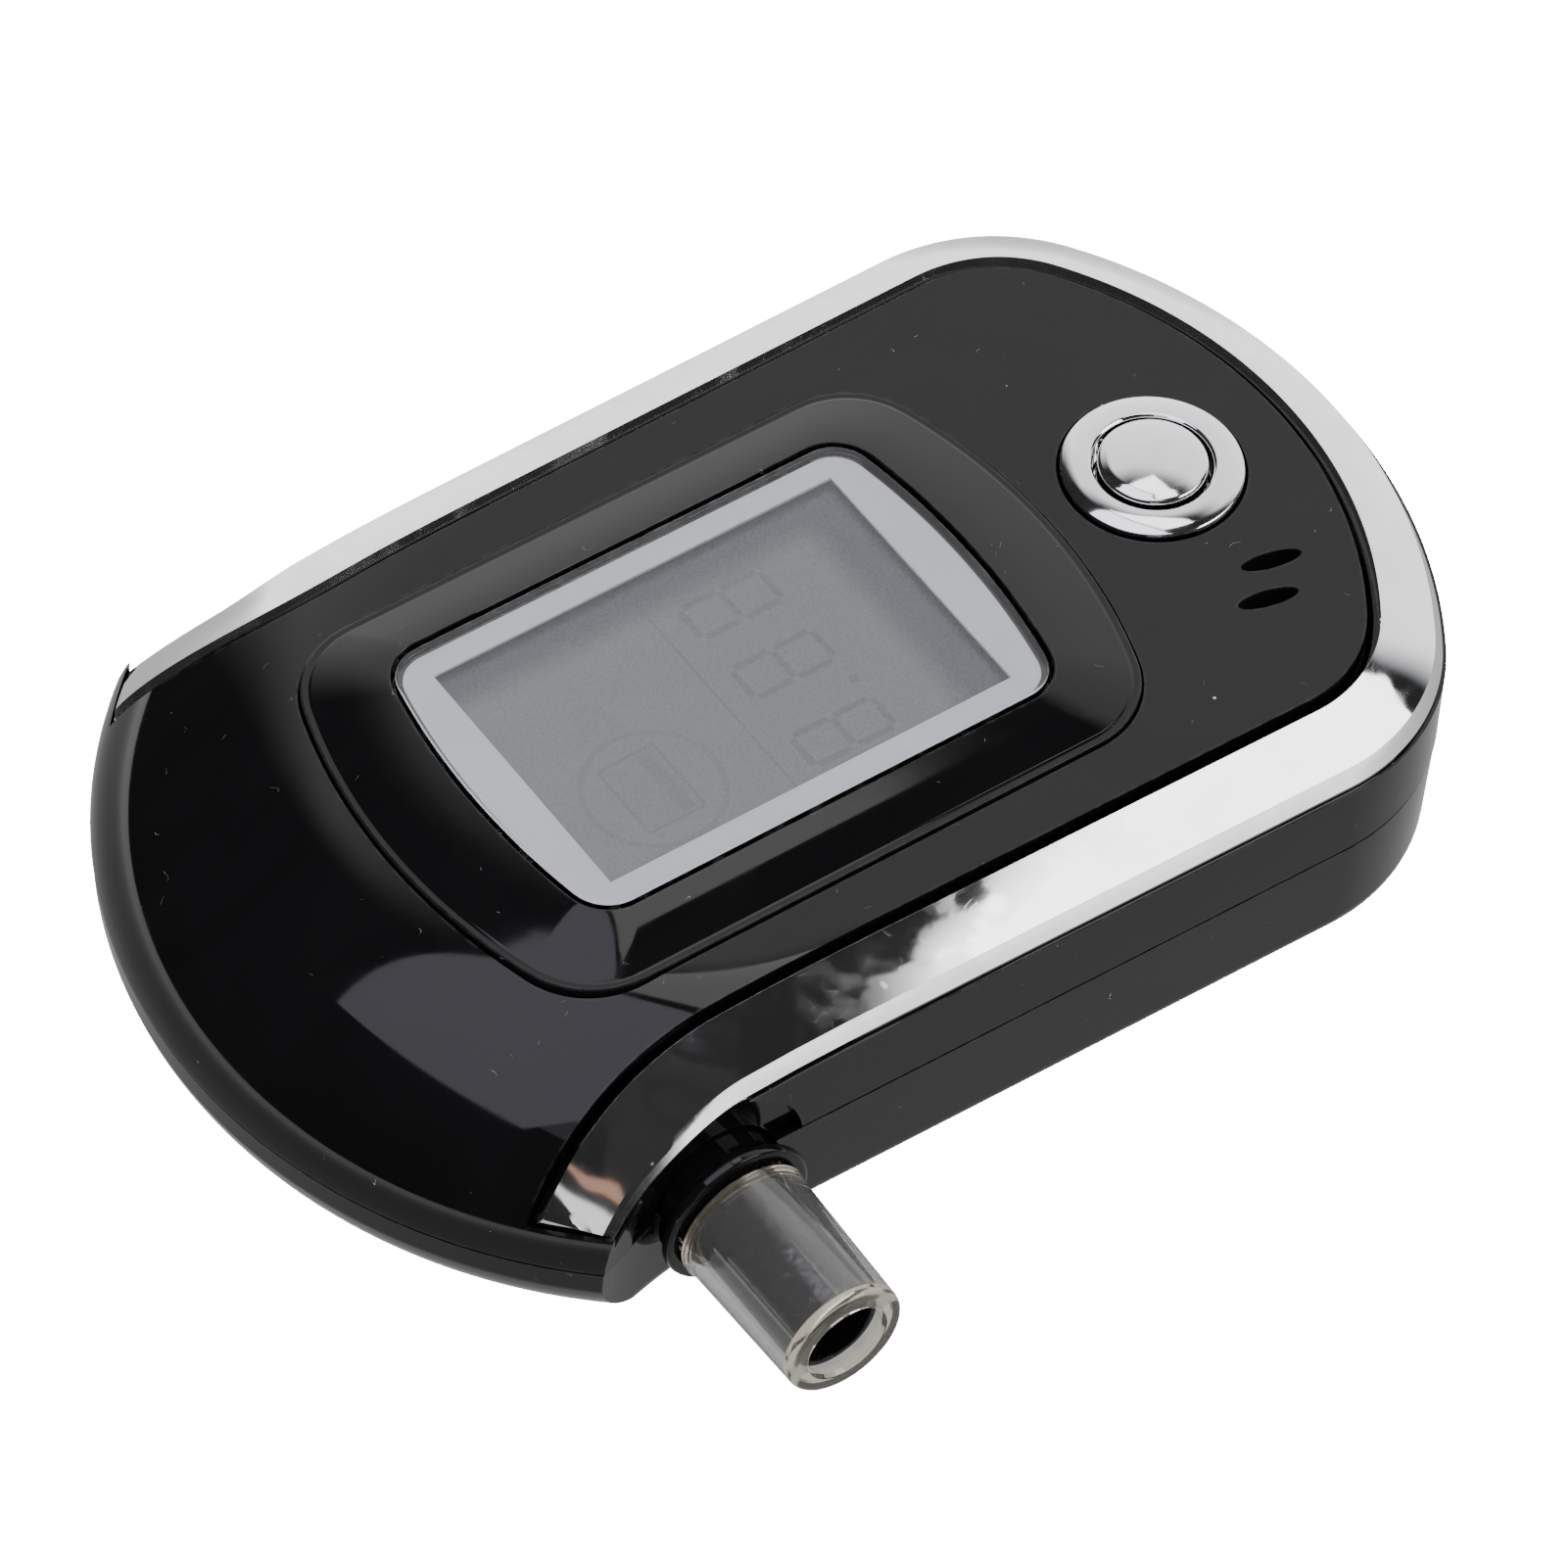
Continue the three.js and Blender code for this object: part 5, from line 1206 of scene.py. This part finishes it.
# ------------------------------------------------------------------ studio
def make_floor():
    """Pale paper that shows white, mirrors darker near the case with a painted contact shadow, and is clear
    from below.
    """
    start_fresh()
    bpy.ops.mesh.primitive_plane_add(size=8, location=(0, 0, -0.0002))
    floor = named("studio_floor")
    paper = bpy.data.materials.new("pale floor")
    paper.use_nodes = True
    tree = paper.node_tree
    tree.nodes.clear()
    rays = add(tree, "ShaderNodeLightPath").outputs
    spot = add(tree, "ShaderNodeTexCoord").outputs["Object"]
    away = add(tree, "ShaderNodeVectorMath", {0: spot}, operation="LENGTH").outputs["Value"]
    # painted shadow: seen in mirrors, the paper glows dimmer close to the case, standing in for the shadow
    # the case casts on it
    mirrored = spread(away, 0.07, 0.24, 0.6, 2.0)
    level = plus(FLOOR_LIGHT, times(rays["Is Glossy Ray"], minus(mirrored, FLOOR_LIGHT)))
    level = larger(level, times(rays["Is Camera Ray"], PLAIN_WHITE))
    glow = add(tree, "ShaderNodeEmission", {"Color": rgb(1, 1, 1), "Strength": level}).outputs[0]
    from_below = add(tree, "ShaderNodeNewGeometry").outputs["Backfacing"]
    clear = add(tree, "ShaderNodeBsdfTransparent").outputs[0]
    surface = add(tree, "ShaderNodeMixShader", {0: from_below, 1: glow, 2: clear}).outputs[0]
    add(tree, "ShaderNodeOutputMaterial", {"Surface": surface})
    floor.data.materials.append(paper)


def make_world():
    """An even white room whose mirror image is dark but for one tall window."""
    world = bpy.data.worlds.new("studio")
    bpy.context.scene.world = world
    world.use_nodes = True
    tree = world.node_tree
    rays = add(tree, "ShaderNodeLightPath").outputs
    toward = add(tree, "ShaderNodeTexCoord").outputs["Generated"]
    x, y, z = add(tree, "ShaderNodeSeparateXYZ", {0: toward}).outputs
    heading = calc("ARCTAN2", y, x)
    right_side = spread(heading, math.radians(-10), math.radians(4))
    left_side = spread(heading, math.radians(94), math.radians(76))
    window = times(times(right_side, left_side), spread(z, 0.8, 0.92, 1.0, 0.0))
    fade = add(tree, "ShaderNodeMapRange", {0: z, 1: 0.0, 2: 0.8, 3: 2.0, 4: 1.4}).outputs[0]
    mirrored = plus(times(window, fade), DARK_WALL)
    level = plus(ROOM_LIGHT, times(rays["Is Camera Ray"], PLAIN_WHITE - ROOM_LIGHT))
    level = plus(level, times(rays["Is Glossy Ray"], minus(mirrored, level)))
    background = tree.nodes["Background"].inputs
    feed(tree, background["Color"], rgb(0.98, 0.985, 1.0))
    feed(tree, background["Strength"], level)


def softbox(name, x, y, z, size_x, size_y, brightness, colour=(1, 1, 1), target=None):
    """A panel of light facing down or towards a target, brightness being what a mirror would show."""
    light = bpy.data.lights.new(name, "AREA")
    light.shape = "RECTANGLE"
    light.size, light.size_y = size_x, size_y
    light.energy = brightness * math.pi * size_x * size_y
    light.color = colour
    obj = bpy.data.objects.new(name, light)
    bpy.context.collection.objects.link(obj)
    obj.location = (x, y, z)
    if target:
        obj.rotation_euler = (Vector(target) - obj.location).to_track_quat("-Z", "Y").to_euler()


# brightness in the camera's eye, of the room, of the floor, and of the walls in a mirror
PLAIN_WHITE = 18.0
ROOM_LIGHT = 2.6
FLOOR_LIGHT = 1.3
DARK_WALL = 0.025
make_floor()
make_world()
softbox("side_panel", 0.535, -0.435, 0.6, 0.53, 0.53, 4.5)
softbox("dome_panel", -0.15, 0.04, 0.6, 0.48, 0.4, 2.4, (0.97, 0.93, 1.08))
softbox("low_dome_panel", -0.15, -0.22, 0.6, 0.4, 0.12, 0.9, (0.95, 0.95, 1.1))
softbox("ring_panel", 0.18, 0.11, 0.6, 0.15, 0.28, 3.0)
MOUTH_TIP_PLACE = (-0.03, -0.02, 0.015)
softbox("brown_card", -0.25, -0.62, 0.44, 0.14, 0.06, 0.55, (1, 0.55, 0.4), MOUTH_TIP_PLACE)
softbox("grey_card", -0.35, -0.63, 0.33, 0.2, 0.08, 1.2, (1, 1, 1), MOUTH_TIP_PLACE)


def place_camera(azimuth, elevation, roll, aim, distance, lens):
    """A camera turned about the part, tilted down and rolled, looking at a point from a distance."""
    right = Vector((math.cos(azimuth), math.sin(azimuth), 0))
    flat = math.cos(elevation)
    back = Vector((math.sin(azimuth) * flat, -math.cos(azimuth) * flat, math.sin(elevation)))
    up = back.cross(right)
    data = bpy.data.cameras.new("camera")
    data.lens = lens
    data.sensor_width = 36
    data.clip_start, data.clip_end = 0.05, 20
    camera = bpy.data.objects.new("camera", data)
    bpy.context.collection.objects.link(camera)
    turned_right = math.cos(roll) * right + math.sin(roll) * up
    turned_up = -math.sin(roll) * right + math.cos(roll) * up
    placed = Matrix((turned_right, turned_up, back)).transposed().to_4x4()
    placed.translation = aim + distance * back
    camera.matrix_world = placed
    bpy.context.scene.camera = camera


aim = Vector((CASE_X - 2.1, CASE_Y - 4.54, 12.4)) * 0.001
place_camera(math.radians(-38.008), math.radians(50.508), math.radians(4.01), aim, 0.75, 243.9)

# ------------------------------------------------------------------ close
start_fresh()
